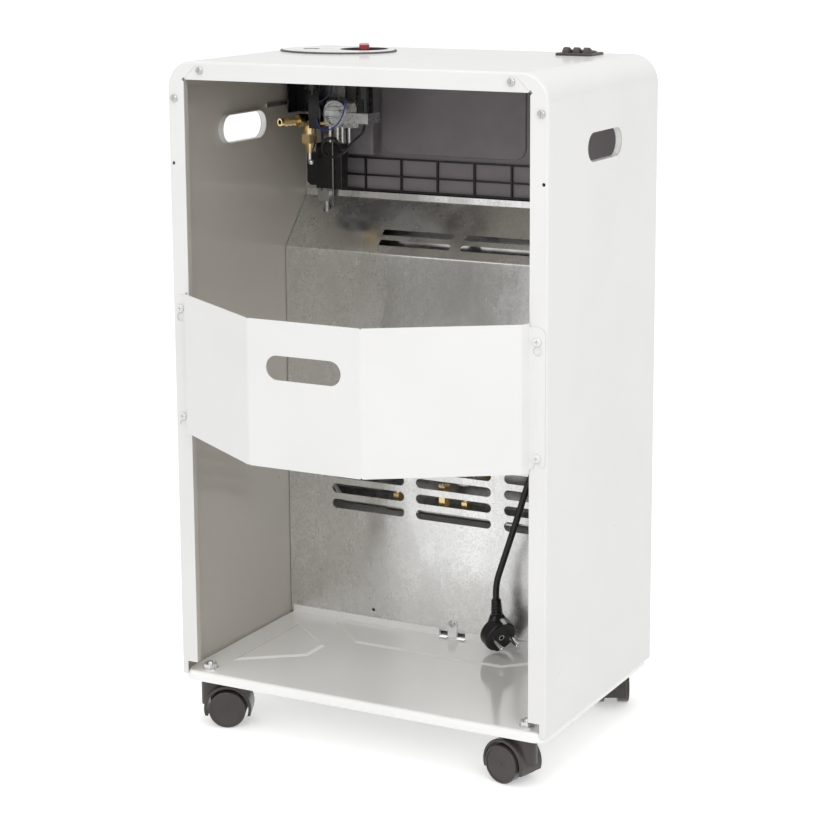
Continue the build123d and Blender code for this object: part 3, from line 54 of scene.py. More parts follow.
def frame_z(z):
    return at(0, 0, z).z


# ---------------------------------------------------------------- camera
# fitted to the casing's corners in the photograph; the shift is less than its crop would need, so
# that the views from other sides stay in the picture
LENS = 97.042
SENSOR_W = 36.0
SHIFT_Y = -0.12
CLIP_END = 50.0
CAMERA_PLACE = (-1059.5, 2002.7, 802.0)
CAMERA_YAW = 180 + 27.952
CAMERA_TILT = 90 - 10.588
CAMERA_ROLL = -0.328


def turned(degrees, axis):
    return Matrix.Rotation(math.radians(degrees), 4, axis)


def add_camera():
    data = bpy.data.cameras.new("camera")
    data.lens = LENS
    data.sensor_width = SENSOR_W
    data.shift_y = SHIFT_Y
    data.clip_end = CLIP_END
    camera = bpy.data.objects.new("camera", data)
    camera.matrix_world = (Matrix.Translation(at(*CAMERA_PLACE)) @ turned(CAMERA_YAW, "Z")
                           @ turned(CAMERA_TILT, "X") @ turned(CAMERA_ROLL, "Z"))
    bpy.context.collection.objects.link(camera)
    bpy.context.scene.camera = camera


add_camera()


# ---------------------------------------------------------------- shaders
class Shader:
    """A Principled material with procedural detail in object coordinates, in metres."""

    def __init__(self, name, color, rough, metal=0.0, **sockets):
        self.material = bpy.data.materials.new(name)
        self.material.use_nodes = True
        self.tree = self.material.node_tree
        self.bsdf = self.tree.nodes["Principled BSDF"]
        self.color = None
        self.normal = None
        self.set("Base Color", (*color, 1.0))
        self.set("Roughness", rough)
        self.set("Metallic", metal)
        for key, value in sockets.items():
            self.set(key.replace("_", " "), value)
        self.coords = self.node("ShaderNodeTexCoord").outputs["Object"]

    def set(self, socket, value):
        self.bsdf.inputs[socket].default_value = value

    def node(self, kind, **settings):
        node = self.tree.nodes.new(kind)
        for key, value in settings.items():
            setattr(node, key, value)
        return node

    def link(self, out, into):
        self.tree.links.new(out, into)

    def stretched(self, stretch):
        if stretch == (1, 1, 1):
            return self.coords
        mapping = self.node("ShaderNodeMapping")
        mapping.inputs["Scale"].default_value = stretch
        self.link(self.coords, mapping.inputs["Vector"])
        return mapping.outputs["Vector"]

    def noise(self, scale, detail, stretch=(1, 1, 1), roughness=0.5):
        noise = self.node("ShaderNodeTexNoise")
        noise.inputs["Scale"].default_value = scale
        noise.inputs["Detail"].default_value = detail
        noise.inputs["Roughness"].default_value = roughness
        self.link(self.stretched(stretch), noise.inputs["Vector"])
        return noise.outputs["Fac"]

    def voronoi(self, scale, stretch, output):
        cells = self.node("ShaderNodeTexVoronoi")
        cells.inputs["Scale"].default_value = scale
        self.link(self.stretched(stretch), cells.inputs["Vector"])
        return cells.outputs[output]

    def separate(self, kind, vector, socket):
        split = self.node(kind)
        self.link(vector, split.inputs[socket])
        return split.outputs

    def ramp(self, value, low, high):
        """The value's range low..high as 0..1."""
        spread = self.node("ShaderNodeMapRange")
        spread.inputs["From Min"].default_value = low
        spread.inputs["From Max"].default_value = high
        self.link(value, spread.inputs["Value"])
        return spread.outputs["Result"]

    def math(self, operation, a, b=0.0):
        node = self.node("ShaderNodeMath", operation=operation)
        for value, socket in ((a, node.inputs[0]), (b, node.inputs[1])):
            if isinstance(value, float):
                socket.default_value = value
            else:
                self.link(value, socket)
        return node.outputs[0]

    def both(self, a, b):
        return self.math("MULTIPLY", a, b)

    def tint(self, value, other, amount=1.0):
        """Mixes the colour towards another where the value is high."""
        mix = self.node("ShaderNodeMix", data_type="RGBA")
        # the mix node has sockets of every type, and these are its colour ones
        factor, first, second, mixed = mix.inputs[0], mix.inputs[6], mix.inputs[7], mix.outputs[2]
        socket = self.bsdf.inputs["Base Color"]
        if self.color is None:
            first.default_value = socket.default_value
        else:
            self.link(self.color, first)
        second.default_value = (*other, 1.0)
        if amount != 1.0:
            value = self.both(value, amount)
        self.link(value, factor)
        self.color = mixed
        self.link(self.color, socket)

    def vary_rough(self, value, low, high):
        """The value's 0..1 as a roughness of low..high."""
        spread = self.node("ShaderNodeMapRange")
        spread.inputs["To Min"].default_value = low
        spread.inputs["To Max"].default_value = high
        self.link(value, spread.inputs["Value"])
        self.link(spread.outputs["Result"], self.bsdf.inputs["Roughness"])

    def bump(self, value, height, strength=1.0):
        """Relief of that height in metres."""
        bump = self.node("ShaderNodeBump")
        bump.inputs["Distance"].default_value = height
        bump.inputs["Strength"].default_value = strength
        self.link(value, bump.inputs["Height"])
        if self.normal is not None:
            self.link(self.normal, bump.inputs["Normal"])
        self.normal = bump.outputs["Normal"]
        self.link(self.normal, self.bsdf.inputs["Normal"])

    def within(self, axis, low, high, soft=0.0002):
        """1 where the object coordinate lies between low and high."""
        place = self.separate("ShaderNodeSeparateXYZ", self.coords, "Vector")[axis]
        rise = self.ramp(place, low - soft, low + soft)
        fall = self.ramp(place, high + soft, high - soft)
        return self.both(rise, fall)

    def under_arch(self, half, top, radius, depth, soft=0.0001):
        """1 where the point lies deeper than that inside an arch with rounded upper corners."""
        place = self.separate("ShaderNodeSeparateXYZ", self.coords, "Vector")
        across = self.math("SUBTRACT", self.math("ABSOLUTE", place["X"]), half - radius)
        up = self.math("SUBTRACT", place["Z"], top - radius)
        corner_x = self.math("MAXIMUM", across, 0.0)
        corner_z = self.math("MAXIMUM", up, 0.0)
        square = self.math("ADD", self.both(corner_x, corner_x), self.both(corner_z, corner_z))
        flat = self.math("MINIMUM", self.math("MAXIMUM", across, up), 0.0)
        distance = self.math("ADD", self.math("SQRT", square), flat)
        return self.ramp(distance, radius - depth + soft, radius - depth - soft)


def scaled(color, factor):
    return [c * factor for c in color]


# ---------------------------------------------------------------- kinds of surface
# in metres: half the casing's width, its corners, how deep under its skin its inside starts, and
# how far out the lips of its hand slots begin
SHELL_HALF_W = 0.21
SHELL_CORNER_R = 0.028
SHELL_SKIN = 0.0006
SLOT_LIP_X = 0.2087
# in casing millimetres: where a piece's second colour or its painted shade starts or ends
SHELL_TOP = 643
SHELL_INSIDE_Y = (-134.4, 134.2)
SLOT_LIP_Y = (-46, 50)
SLOT_LIP_Z = (546, 584)
RIB_SHADE_Y = -135.6
RIB_Z = (480, 522.2)
DIAL_TOP = 641.2
TIP_TOP = 529.8


def inner_faces(shader):
    """1 on the casing's faces under its arch, apart from the lips of its hand slots."""
    arch = shader.under_arch(SHELL_HALF_W, frame_z(SHELL_TOP), SHELL_CORNER_R, SHELL_SKIN)
    depth = shader.within("Y", *map(frame_y, SHELL_INSIDE_Y))
    lip = shader.both(shader.within("Y", *map(frame_y, SLOT_LIP_Y)),
                      shader.within("Z", *map(frame_z, SLOT_LIP_Z)))
    lip = shader.both(lip, shader.within("X", -SLOT_LIP_X, SLOT_LIP_X))
    wall = shader.math("SUBTRACT", shader.both(arch, depth), lip)
    return shader.math("MAXIMUM", wall, 0.0)


def paint(name, color, inside=None, rough=(0.24, 0.38), coat=0.35):
    """Sprayed enamel with a faint orange peel; a casing's inside may have a colour of its own."""
    shader = Shader(name, color, rough[0], Coat_Weight=coat, Coat_Roughness=0.08,
                    Specular_IOR_Level=0.5)
    blotches = shader.ramp(shader.noise(scale=9.0, detail=4.0), low=0.42, high=0.75)
    shader.tint(blotches, scaled(color, 0.965))
    if inside:
        shader.tint(inner_faces(shader), inside)
    shader.vary_rough(shader.noise(scale=24.0, detail=3.0), *rough)
    shader.bump(shader.noise(scale=420.0, detail=2.0), height=0.00003, strength=0.6)
    shader.bump(shader.noise(scale=2600.0, detail=1.0), height=0.000006, strength=0.5)
    return shader.material


def zinc(name, color):
    """Galvanised sheet with spangles, grey specks, dull clouds and slight waves."""
    shader = Shader(name, color, rough=0.26, metal=0.92, Specular_IOR_Level=0.5)
    cell_color = shader.voronoi(scale=210.0, stretch=(1, 1, 0.7), output="Color")
    spangle = shader.separate("ShaderNodeSeparateColor", cell_color, "Color")["Red"]
    shader.tint(shader.ramp(spangle, low=0.3, high=1.0), scaled(color, 0.92))
    specks = shader.ramp(shader.noise(scale=480.0, detail=6.0), low=0.46, high=0.66)
    shader.tint(specks, scaled(color, 0.8), amount=0.8)
    clouds = shader.noise(scale=11.0, detail=8.0, stretch=(1, 1, 0.45), roughness=0.62)
    shader.tint(shader.ramp(clouds, low=0.48, high=0.74), scaled(color, 0.84))
    dull = shader.noise(scale=14.0, detail=8.0, stretch=(1, 1, 0.4), roughness=0.6)
    shader.vary_rough(shader.ramp(dull, low=0.38, high=0.62), low=0.14, high=0.36)
    waves = shader.noise(scale=5.0, detail=2.0, stretch=(1, 1, 0.5))
    shader.bump(waves, height=0.003, strength=0.5)
    shader.bump(shader.noise(scale=620.0, detail=4.0), height=0.00003, strength=0.6)
    return shader.material


def plastic(name, color, rough, grain=0.00004):
    shader = Shader(name, color, rough, Specular_IOR_Level=0.5)
    lighter = [min(1.0, c * 1.45 + 0.004) for c in color]
    shader.tint(shader.ramp(shader.noise(scale=30.0, detail=4.0), low=0.4, high=0.8), lighter,
                amount=0.6)
    shader.vary_rough(shader.noise(scale=70.0, detail=3.0), low=rough - 0.07, high=rough + 0.1)
    shader.bump(shader.noise(scale=1500.0, detail=2.0), height=grain, strength=0.5)
    return shader.material


def knob_plastic(name, color, well_shade):
    """The knob's lower part, down in the well, is painted dark with the well's shade; the grip
    above it is coloured.
    """
    shader = Shader(name, color, rough=0.18, Coat_Weight=0.4, Coat_Roughness=0.06)
    shader.tint(shader.ramp(shader.noise(scale=60.0, detail=3.0), low=0.45, high=0.8),
                scaled(color, 0.8))
    # painted shade: the knob below that height takes the dark of its well
    shader.tint(shader.within("Z", 0.0, frame_z(DIAL_TOP)), well_shade)
    shader.vary_rough(shader.noise(scale=80.0, detail=3.0), low=0.14, high=0.24)
    shader.bump(shader.noise(scale=1500.0, detail=2.0), height=0.000008, strength=0.5)
    return shader.material


def ribbed_plastic(name, color, rib_shade):
    """The moulded face is matt, and the ribs are painted near black: painted shade on their sides
    and edges.
    """
    shader = Shader(name, color, rough=0.42, Specular_IOR_Level=0.5)
    shader.tint(shader.ramp(shader.noise(scale=30.0, detail=4.0), low=0.4, high=0.8),
                scaled(color, 1.3), amount=0.6)
    # painted shade: the parts of the ribs that stand out from the face are coloured near black
    edge = shader.both(shader.within("Y", frame_y(RIB_SHADE_Y), 0.0),
                       shader.within("Z", *map(frame_z, RIB_Z)))
    shader.tint(edge, rib_shade)
    shader.vary_rough(shader.noise(scale=70.0, detail=3.0), low=0.34, high=0.5)
    shader.bump(shader.noise(scale=1500.0, detail=2.0), height=0.00004, strength=0.5)
    return shader.material


def metal(name, color, rough, height=0.000012):
    shader = Shader(name, color, rough, metal=1.0)
    shader.tint(shader.ramp(shader.noise(scale=60.0, detail=5.0), low=0.4, high=0.75),
                scaled(color, 0.72), amount=0.7)
    shader.vary_rough(shader.noise(scale=260.0, detail=3.0), low=rough - 0.08, high=rough + 0.14)
    shader.bump(shader.noise(scale=1400.0, detail=2.0), height, strength=0.6)
    return shader.material


def tipped_metal(name, color, tip, rough):
    """Brass whose plated pin and ball at the lower end are another metal."""
    shader = Shader(name, color, rough, metal=1.0)
    shader.tint(shader.ramp(shader.noise(scale=60.0, detail=5.0), low=0.4, high=0.75),
                scaled(color, 0.8), amount=0.7)
    shader.tint(shader.within("Z", 0.0, frame_z(TIP_TOP)), tip)
    shader.vary_rough(shader.noise(scale=260.0, detail=3.0), low=rough - 0.06, high=rough + 0.1)
    shader.bump(shader.noise(scale=1400.0, detail=2.0), height=0.000012, strength=0.6)
    return shader.material


def ceramic(name, color):
    """Pressed fibre with the fine holes that the gas burns at; the holes are dark dots of painted
    shade, with a bump.
    """
    shader = Shader(name, color, rough=0.85)
    holes = shader.voronoi(scale=560.0, stretch=(1, 0.0, 1), output="Distance")
    # painted shade inside the holes
    shader.tint(shader.ramp(holes, low=0.42, high=0.18), scaled(color, 0.3))
    shader.tint(shader.ramp(shader.noise(scale=20.0, detail=4.0), low=0.5, high=0.8),
                scaled(color, 0.86))
    shader.bump(shader.ramp(holes, low=0.15, high=0.5), height=0.0004)
    return shader.material


# ---------------------------------------------------------------- the materials
ENAMEL = (0.80, 0.80, 0.795)
# heights of relief, in metres
FINE_GRAIN = 0.00002
SLEEVE_GRAIN = 0.000008
CAST_GRAIN = 0.000005

WHITE = paint("white_enamel", ENAMEL)
SHELL = paint("casing_enamel", ENAMEL, inside=(0.52, 0.49, 0.44))
PAN = paint("pan_enamel", (0.95, 0.95, 0.935), rough=(0.1, 0.18), coat=1.0)
ZINC = zinc("galvanised", (0.95, 0.95, 0.94))
BLACK = plastic("black_plastic", (0.0045, 0.0045, 0.005), rough=0.27)
DARK = plastic("dark_plastic", (0.068, 0.063, 0.065), rough=0.42)
SWITCH = plastic("switch_plastic", (0.045, 0.036, 0.033), rough=0.33)
PLATE = plastic("plate_plastic", (0.72, 0.72, 0.71), rough=0.3)
WHEEL = plastic("wheel_plastic", (0.050, 0.043, 0.040), rough=0.3)
RUBBER = plastic("rubber", (0.006, 0.006, 0.006), rough=0.3, grain=FINE_GRAIN)
STEEL = metal("steel", (0.56, 0.56, 0.55), rough=0.3)
TUBE = metal("tube_steel", (0.3, 0.3, 0.3), rough=0.35)
CHROME = metal("chrome", (0.78, 0.78, 0.78), rough=0.14)
ALUMINIUM = metal("aluminium", (0.66, 0.66, 0.67), rough=0.26, height=CAST_GRAIN)
BRASS = metal("brass", (0.90, 0.69, 0.37), rough=0.2)
NIPPLE = tipped_metal("brass_nipple", (0.86, 0.66, 0.36), tip=(0.85, 0.85, 0.85), rough=0.2)
SCREW = metal("screw_zinc", (0.66, 0.66, 0.65), rough=0.22)
CERAMIC = ceramic("ceramic", (0.72, 0.68, 0.58))
# its second colour is painted shade for the knob's part down in the well
RED = knob_plastic("red_plastic", (0.30, 0.004, 0.006), well_shade=(0.02, 0.018, 0.018))
# the second colour is painted shade on the liner's ribs
LINER = ribbed_plastic("liner_plastic", (0.225, 0.208, 0.222), rib_shade=(0.012, 0.010, 0.011))
BLUE = plastic("blue_sleeve", (0.045, 0.07, 0.33), rough=0.4, grain=SLEEVE_GRAIN)
VIOLET = plastic("violet_sleeve", (0.035, 0.03, 0.10), rough=0.4, grain=SLEEVE_GRAIN)

# every node but the castors' hoods and wheels, which are of WHEEL
FINISHES = (
    (SHELL, ("cabinet_shell",)),
    (PAN, ("base_pan",)),
    (WHITE, ("bottle_retainer", "lower_front_panel", "retainer_pegs")),
    (SCREW, ("panel_screws",)),
    (ZINC, ("partition", "valve_bracket", "burner_box", "fan_housing")),
    (CHROME, ("reflector", "plug_pins", "caster_stems")),
    (STEEL, ("wire_guard", "gas_manifold", "gas_pipe", "pilot_burner", "valve_spindle",
             "heating_element", "fan_motor")),
    (TUBE, ("pilot_tube",)),
    (ALUMINIUM, ("gas_valve", "fan_rotor", "thermocouple")),
    (BRASS, ("hose_elbow", "gas_injectors")),
    (NIPPLE, ("test_nipple",)),
    # part of the valve cover is a black block on the fascia liner under the valve group: partly a
    # housing, partly a dark piece put where there is shade
    (BLACK, ("terminal_box", "valve_cover", "cord_gland", "cord_tie", "piezo_igniter")),
    (PLATE, ("igniter_button",)),
    (SWITCH, ("switch_block", "rocker_1", "rocker_2", "rocker_3")),
    # the control plate's dark plastic shows round its pale sheet and in the knob's well as painted
    # shadow gaps and shade
    (DARK, ("front_fascia", "control_plate")),
    (LINER, ("fascia_liner",)),
    (RED, ("control_knob",)),
    (RUBBER, ("cord_upper", "cord_coil", "cord_lower", "plug_body", "valve_leads")),
    (CERAMIC, ("ceramic_plaques", "spark_electrode")),
)


def dress(obj, material):
    obj.data.materials.clear()
    obj.data.materials.append(material)


FINISH = {name: material for material, names in FINISHES for name in names}
for node_name, node_object in NODES.items():
    dress(node_object, FINISH.get(node_name, WHEEL))


# ---------------------------------------------------------------- making pieces
STRAND_ORDER = 3
STRAND_BEVEL = 5
# edges that turn by more than that, in radians, are rounded or shaded as sharp
BEVEL_ANGLE = 0.6
SHARP_ANGLE = 0.7
# corners count up x first, then y, then z
BOX_FACES = [(0, 1, 3, 2), (4, 6, 7, 5), (0, 4, 5, 1), (2, 3, 7, 6), (0, 2, 6, 4), (1, 5, 7, 3)]


def add_object(name, data):
    obj = bpy.data.objects.new(name, data)
    bpy.context.collection.objects.link(obj)
    return obj


def adopt(obj, name, material, replaces=()):
    """Names a fixed piece of the casing, gives it its material and body, and hides the nodes that
    it replaces.
    """
    obj.name = name
    dress(obj, material)
    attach(obj, "cabinet")
    if replaces:
        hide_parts(*replaces)
    return obj


def strand(points, radius, resolution=8):
    """A smooth round line with those points, in metres, as its controls."""
    data = bpy.data.curves.new("strand", "CURVE")
    data.dimensions = "3D"
    data.bevel_depth = radius
    data.bevel_resolution = STRAND_BEVEL
    data.resolution_u = resolution
    data.use_fill_caps = True
    spline = data.splines.new("NURBS")
    spline.points.add(len(points) - 1)
    for control, point in zip(spline.points, points):
        control.co = (*point, 1.0)
    spline.order_u = STRAND_ORDER
    spline.use_endpoint_u = True
    return add_object("strand", data)


def solid(parts, bevel=0.0):
    """A mesh of several closed forms; each is (vertices in casing millimetres, faces)."""
    mesh = bpy.data.meshes.new("solid")
    points = []
    faces = []
    for vertices, rings in parts:
        base = len(points)
        points += [at(*v) for v in vertices]
        faces += [[base + i for i in ring] for ring in rings]
    mesh.from_pydata(points, [], faces)
    mesh.validate()
    form = bmesh.new()
    form.from_mesh(mesh)
    bmesh.ops.recalc_face_normals(form, faces=form.faces)
    if bevel:
        edges = [e for e in form.edges
                 if len(e.link_faces) == 2 and e.calc_face_angle() > BEVEL_ANGLE]
        bmesh.ops.bevel(form, geom=edges, offset=bevel / 1000, segments=2, profile=0.5,
                        affect="EDGES", clamp_overlap=True)
    for face in form.faces:
        face.smooth = True
    for edge in form.edges:
        edge.smooth = len(edge.link_faces) == 2 and edge.calc_face_angle() < SHARP_ANGLE
    form.to_mesh(mesh)
    form.free()
    return add_object("solid", mesh)


def brick(x0, x1, y0, y1, z0, z1):
    vertices = [(x, y, z) for z in (z0, z1) for y in (y0, y1) for x in (x0, x1)]
    return vertices, BOX_FACES


def lathe(center, axis, profile, sides, closed=False):
    """Turns a profile of (distance along the axis, radius) about the axis; it starts and ends at
    radius 0, or else is closed, as a sleeve's is."""
    center = Vector(center)
    axis = Vector(axis).normalized()
    side = axis.orthogonal().normalized()
    other = axis.cross(side)
    vertices = []
    faces = []
    rings = []
    for along, radius in profile:
        middle = center + axis * along
        first = len(vertices)
        if radius == 0:
            vertices.append(tuple(middle))
        else:
            for i in range(sides):
                turn = 2 * math.pi * i / sides
                spoke = (side * math.cos(turn) + other * math.sin(turn)) * radius
                vertices.append(tuple(middle + spoke))
        rings.append(list(range(first, len(vertices))))
    if closed:
        rings.append(rings[0])
    for a, b in zip(rings, rings[1:]):
        for i in range(sides):
            j = (i + 1) % sides
            corners = [a[i % len(a)], a[j % len(a)], b[j % len(b)], b[i % len(b)]]
            faces.append(list(dict.fromkeys(corners)))
    return vertices, faces


# ---------------------------------------------------------------- mains lead
# from its gland through a coil behind the retainer to the plug, in casing millimetres; COIL_LEAVE
# is in metres from the coil's end
CORD_R = 3.5
COIL_X = -196.0
COIL_Y = -18.0
COIL_Z = 268.0
COIL_MEAN_R = 44.0
COIL_TURNS = 3.5
COIL_STEP = 7.9
COIL_CROSSING = 0.5
POINTS_PER_TURN = 16
GLAND_RUN_Y = (-70.0, -52.0, -34.0)
COIL_LEAVE = ((0, -0.017, 0), (0.004, -0.036, -0.003))
HANGING_ROUTE = (
    (-170.0, -62.0, 304.0), (-156.0, -68.0, 280.0), (-126.0, -66.0, 246.0),
    (-103.0, -60.0, 208.0), (-89.0, -58.0, 160.0), (-71.0, -58.0, 106.0),
    (-62.44, -58.0, 80.39), (-63.3, -58.0, 65.42),
)


def coil_point(turn):
    """The coil winds inwards, crosses over to its second layer halfway, and winds outwards."""
    half = COIL_TURNS / 2
    inwards = turn if turn <= half else COIL_TURNS - turn
    radius = COIL_MEAN_R + COIL_STEP * (half / 2 - inwards)
    climb = min(max((turn - (half - COIL_CROSSING / 2)) / COIL_CROSSING, 0.0), 1.0)
    angle = 2 * math.pi * turn - math.pi / 2
    x = COIL_X + COIL_STEP * climb * climb * (3 - 2 * climb)
    return at(x, COIL_Y + radius * math.cos(angle), COIL_Z + radius * math.sin(angle))


def mains_lead():
    start = coil_point(0)
    leave = coil_point(COIL_TURNS)
    points = [at(COIL_X, y, 0) for y in GLAND_RUN_Y]
    for point in points:
        point.z = start.z
    steps = round(COIL_TURNS * POINTS_PER_TURN)
    points += [coil_point(i / POINTS_PER_TURN) for i in range(steps + 1)]
    points += [leave + Vector(offset) for offset in COIL_LEAVE]
    points += [at(*place) for place in HANGING_ROUTE]
    lead = adopt(strand(points, CORD_R / 1000, resolution=6), "mains_lead", RUBBER,
                 ("cord_upper", "cord_coil", "cord_lower"))


mains_lead()


# ---------------------------------------------------------------- plug
# its middle, the way its pins point and the way to its rim, then distances along those ways
PLUG_CENTER = (-65.5, -58.0, 27.0)
PLUG_AXIS = (-0.797, 0.48, -0.368)
PLUG_SIDE = (-0.315, 0.19, 0.93)
PLUG_FACE_AT = 7.5
SLEEVE = ((-2.0, 2.3), (-2.0, 3.4), (0.35, 3.4), (0.35, 2.3))
STRIP_ALONG = (-4.5, 7.6)
STRIP_OUT = (17.9, 18.9)
STRIP_WIDE = (-2.4, 2.4)


def plug_contacts():
    """The plated sleeve of the earth hole and the two earth strips on the plug's rim."""
    pins = Vector(PLUG_AXIS).normalized()
    side = Vector(PLUG_SIDE)
    side = (side - pins * side.dot(pins)).normalized()
    across = pins.cross(side)
    center = Vector(PLUG_CENTER)
    parts = [lathe(center + pins * PLUG_FACE_AT, pins, SLEEVE, sides=28, closed=True)]
    for sign in (-1, 1):
        vertices = [tuple(center + pins * along + across * (sign * wide) + side * (sign * out))
                    for along in STRIP_ALONG for out in STRIP_OUT for wide in STRIP_WIDE]
        parts.append((vertices, BOX_FACES))
    adopt(solid(parts), "plug_contacts", CHROME)


plug_contacts()


# ---------------------------------------------------------------- valve group
# name, route, radius in metres, material and the CAD nodes that it replaces
WIRES = (
    ("ignition_lead",
     ((98.0, -68.0, 565.2), (98.0, -68.0, 556.0), (113.6, -73.0, 546.5), (124.0, -73.0, 534.0),
      (139.0, -73.0, 526.0), (151.5, -73.0, 530.0), (155.0, -75.0, 540.0), (148.0, -76.0, 547.5),
      (138.0, -77.5, 546.0), (134.0, -83.0, 534.0), (134.0, -89.7, 534.0)),
     0.0015, RUBBER, ("valve_leads",)),
    ("blue_wire",
     ((119.0, -64.5, 590.0), (119.5, -64.5, 580.0), (126.0, -64.5, 566.5), (135.0, -64.5, 558.5),
      (145.0, -64.5, 556.5), (153.0, -64.5, 561.0), (155.0, -64.5, 569.0)),
     0.0008, BLUE, ()),
    ("violet_wire",
     ((138.0, -69.5, 618.0), (138.0, -69.5, 604.0), (136.0, -64.5, 598.0), (143.5, -64.5, 590.5),
      (153.0, -64.5, 586.0)),
     0.0008, VIOLET, ()),
)
# the regulator's ring, and its ribs as x0, x1, y0, y1, z0, z1 from there
RING = (136.5, -74.9, 574.0)
RIBS = (
    (-11.0, 11.0, -1.0, 1.0, 6.0, 8.2),
    (-12.0, 12.0, -1.0, 1.6, -5.6, -3.0),
    (5.0, 7.4, -1.0, 1.4, -10.0, -4.0),
    (-4.0, -1.6, -1.0, 1.4, -11.0, -5.0),
)
RIB_BEVEL = 0.5
SCREW_SHIFT = (-4.0, 0.0, 1.5)
SCREW_PROFILE = ((0, 0), (0, 3.0), (3.4, 3.0), (4.0, 2.5), (4.0, 1.3), (3.2, 1.2), (3.2, 0))
BOLT_Y = -80.0
BOLT_XZ = ((116.0, 584.0), (116.0, 562.0), (148.5, 585.5))
BOLT_PROFILE = ((-1, 0), (-1, 2.6), (1.2, 2.6), (1.8, 2.0), (1.8, 1.0), (1.0, 0.9), (1.0, 0))
REARWARD = (0, 1, 0)


def valve_wires():
    for name, route, radius, material, replaces in WIRES:
        line = strand([at(*place) for place in route], radius)
        adopt(line, name, material, replaces)


def valve_face():
    """The cast ribs and the adjusting screw inside the regulator's ring, and the valve's bolts."""
    x, y, z = RING
    ribs = [brick(x + x0, x + x1, y + y0, y + y1, z + z0, z + z1)
            for x0, x1, y0, y1, z0, z1 in RIBS]
    adopt(solid(ribs, RIB_BEVEL), "valve_face_ribs", ALUMINIUM)
    place = [a + b for a, b in zip(RING, SCREW_SHIFT)]
    screw = lathe(place, REARWARD, SCREW_PROFILE, sides=28)
    adopt(solid([screw]), "valve_adjusting_screw", PLATE)
    bolts = [lathe((bolt_x, BOLT_Y, bolt_z), REARWARD, BOLT_PROFILE, sides=24)
             for bolt_x, bolt_z in BOLT_XZ]
    adopt(solid(bolts), "valve_bolts", CHROME)


valve_wires()
valve_face()


# ---------------------------------------------------------------- control plate
# an oval with the knob's well and the button in it
PLATE_X = 120.5
PLATE_Y = -54.0
PLATE_A = 65.0
PLATE_B = 50.0
PLATE_TOP = 644.8
KNOB_XY = (97.0, -68.0)
WELL_R = 25.0
BUTTON_XY = (150.0, -48.0)
BUTTON_R = 7.5
# the pale sheet stays clear of the plate's rim, the well and the button, so that the dark plate
# shows round them as painted shadow gaps, and is let into the plate
RIM_SHADOW_GAP = 2.2
WELL_SHADOW_GAP = 0.8
BUTTON_SHADOW_GAP = 1.6
SHEET_SUNK = 0.3
SHEET_T = 0.5
RIM_POINTS = 96
WELL_POINTS = 64
BUTTON_POINTS = 32


def ring_points(center, radius, count):
    return [(center[0] + radius * math.cos(2 * math.pi * i / count),
             center[1] + radius * math.sin(2 * math.pi * i / count)) for i in range(count)]


def rim_point(turn):
    """Where a ray from the knob's axis meets the plate's oval rim, a little inside it."""
    a = PLATE_A - RIM_SHADOW_GAP
    b = PLATE_B - RIM_SHADOW_GAP
    px = KNOB_XY[0] - PLATE_X
    py = KNOB_XY[1] - PLATE_Y
    dx = math.cos(turn)
    dy = math.sin(turn)
    qa = dx * dx / a / a + dy * dy / b / b
    qb = 2 * (px * dx / a / a + py * dy / b / b)
    qc = px * px / a / a + py * py / b / b - 1
    reach = (-qb + math.sqrt(qb * qb - 4 * qa * qc)) / 2 / qa
    return KNOB_XY[0] + reach * dx, KNOB_XY[1] + reach * dy


def plate_face():
    """A thin pale sheet on the dark plate, open at the knob's well and at the button; the dark
    plate showing round it and in the well is painted shadow.
    """
    loops = [[rim_point(2 * math.pi * i / RIM_POINTS) for i in range(RIM_POINTS)],
             ring_points(KNOB_XY, WELL_R + WELL_SHADOW_GAP, WELL_POINTS),
             ring_points(BUTTON_XY, BUTTON_R + BUTTON_SHADOW_GAP, BUTTON_POINTS)]
    corners = [corner for loop in loops for corner in loop]
    bottom = PLATE_TOP - SHEET_SUNK
    vertices = [(x, y, z) for z in (bottom, bottom + SHEET_T) for x, y in corners]
    count = len(corners)
    flat = tessellate_polygon([[Vector((x, y, 0)) for x, y in loop] for loop in loops])
    faces = [[layer + i for i in triangle] for layer in (0, count) for triangle in flat]
    start = 0
    for loop in loops:
        for i in range(len(loop)):
            a = start + i
            b = start + (i + 1) % len(loop)
            faces.append((a, b, b + count, a + count))
        start += len(loop)
    adopt(solid([(vertices, faces)]), "control_plate_face", PLATE)


plate_face()


# ---------------------------------------------------------------- floor and light
# all in metres, in the frame
FLOOR_HALF = 30.0
FLOOR_COLOR = (0.92, 0.92, 0.92)
FLOOR_SHADE = (0.90, 0.90, 0.90)
FLOOR_ROUGH = 0.75
FLOOR_GLOW = 0.38
SKY_COLOR = (1.0, 0.995, 0.985, 1.0)
SKY_STRENGTH = 0.79
# name, place, target, size and power in watts
SOFTBOXES = (
    ("key", (-2.2, 1.6, 1.9), (0, 0, 0.35), (1.6, 1.6), 15),
    ("fill", (-0.4, 2.9, 1.9), (0, 0, 0.3), (1.6, 1.2), 15),
    ("top", (0.0, 0.2, 3.0), (0, 0, 0.3), (2.2, 2.2), 18),
)


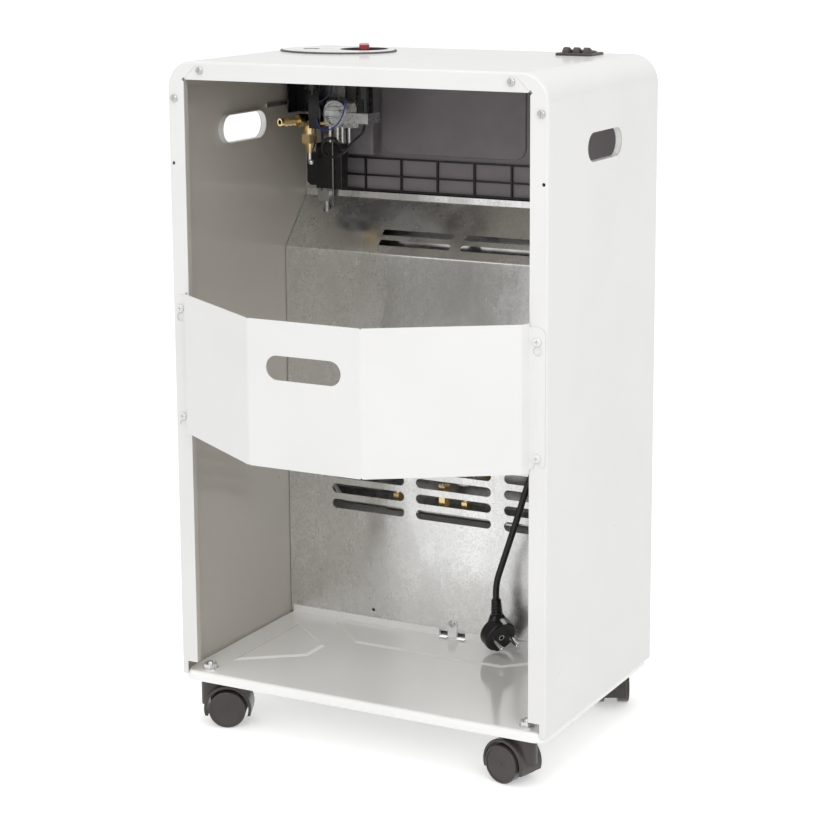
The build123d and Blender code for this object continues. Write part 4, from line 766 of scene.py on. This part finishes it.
def floor_material():
    """The studio's overexposed paper: it looks whiter than it lights, and keeps the shadow."""
    shader = Shader("floor", FLOOR_COLOR, FLOOR_ROUGH)
    shader.tint(shader.ramp(shader.noise(scale=1.5, detail=2.0), low=0.3, high=0.8), FLOOR_SHADE)
    path = shader.node("ShaderNodeLightPath")
    glow = shader.node("ShaderNodeEmission")
    shader.link(shader.both(path.outputs["Is Camera Ray"], FLOOR_GLOW), glow.inputs["Strength"])
    mirrored = shader.math("MAXIMUM", path.outputs["Is Glossy Ray"],
                           path.outputs["Is Transmission Ray"])
    white = shader.node("ShaderNodeEmission")
    white.inputs["Strength"].default_value = 1.0
    paper = shader.node("ShaderNodeAddShader")
    shader.link(shader.bsdf.outputs[0], paper.inputs[0])
    shader.link(glow.outputs[0], paper.inputs[1])
    mix = shader.node("ShaderNodeMixShader")
    shader.link(mirrored, mix.inputs[0])
    shader.link(paper.outputs[0], mix.inputs[1])
    shader.link(white.outputs[0], mix.inputs[2])
    shader.link(mix.outputs[0], shader.tree.nodes["Material Output"].inputs["Surface"])
    return shader.material


def add_floor():
    mesh = bpy.data.meshes.new("floor")
    half = FLOOR_HALF
    mesh.from_pydata([(-half, -half, 0), (half, -half, 0), (half, half, 0), (-half, half, 0)], [],
                     [(0, 1, 2, 3)])
    floor = add_object("floor", mesh)
    dress(floor, floor_material())


def add_world():
    """A sky that lights the object and looks pure white to the camera."""
    world = bpy.data.worlds.new("world")
    bpy.context.scene.world = world
    world.use_nodes = True
    tree = world.node_tree
    light = tree.nodes["Background"]
    light.inputs["Color"].default_value = SKY_COLOR
    light.inputs["Strength"].default_value = SKY_STRENGTH
    seen = tree.nodes.new("ShaderNodeBackground")
    seen.inputs["Color"].default_value = (1, 1, 1, 1)
    seen.inputs["Strength"].default_value = 1.0
    path = tree.nodes.new("ShaderNodeLightPath")
    mix = tree.nodes.new("ShaderNodeMixShader")
    tree.links.new(path.outputs["Is Camera Ray"], mix.inputs[0])
    tree.links.new(light.outputs[0], mix.inputs[1])
    tree.links.new(seen.outputs[0], mix.inputs[2])
    tree.links.new(mix.outputs[0], tree.nodes["World Output"].inputs["Surface"])


def add_softbox(name, place, target, size, power):
    data = bpy.data.lights.new(name, "AREA")
    data.shape = "RECTANGLE"
    data.size, data.size_y = size
    data.energy = power
    lamp = add_object(name, data)
    direction = Vector(target) - Vector(place)
    facing = direction.to_track_quat("-Z", "Y").to_matrix().to_4x4()
    lamp.matrix_world = Matrix.Translation(place) @ facing


add_floor()
add_world()
for softbox in SOFTBOXES:
    add_softbox(*softbox)
bpy.context.scene.view_settings.view_transform = "Standard"
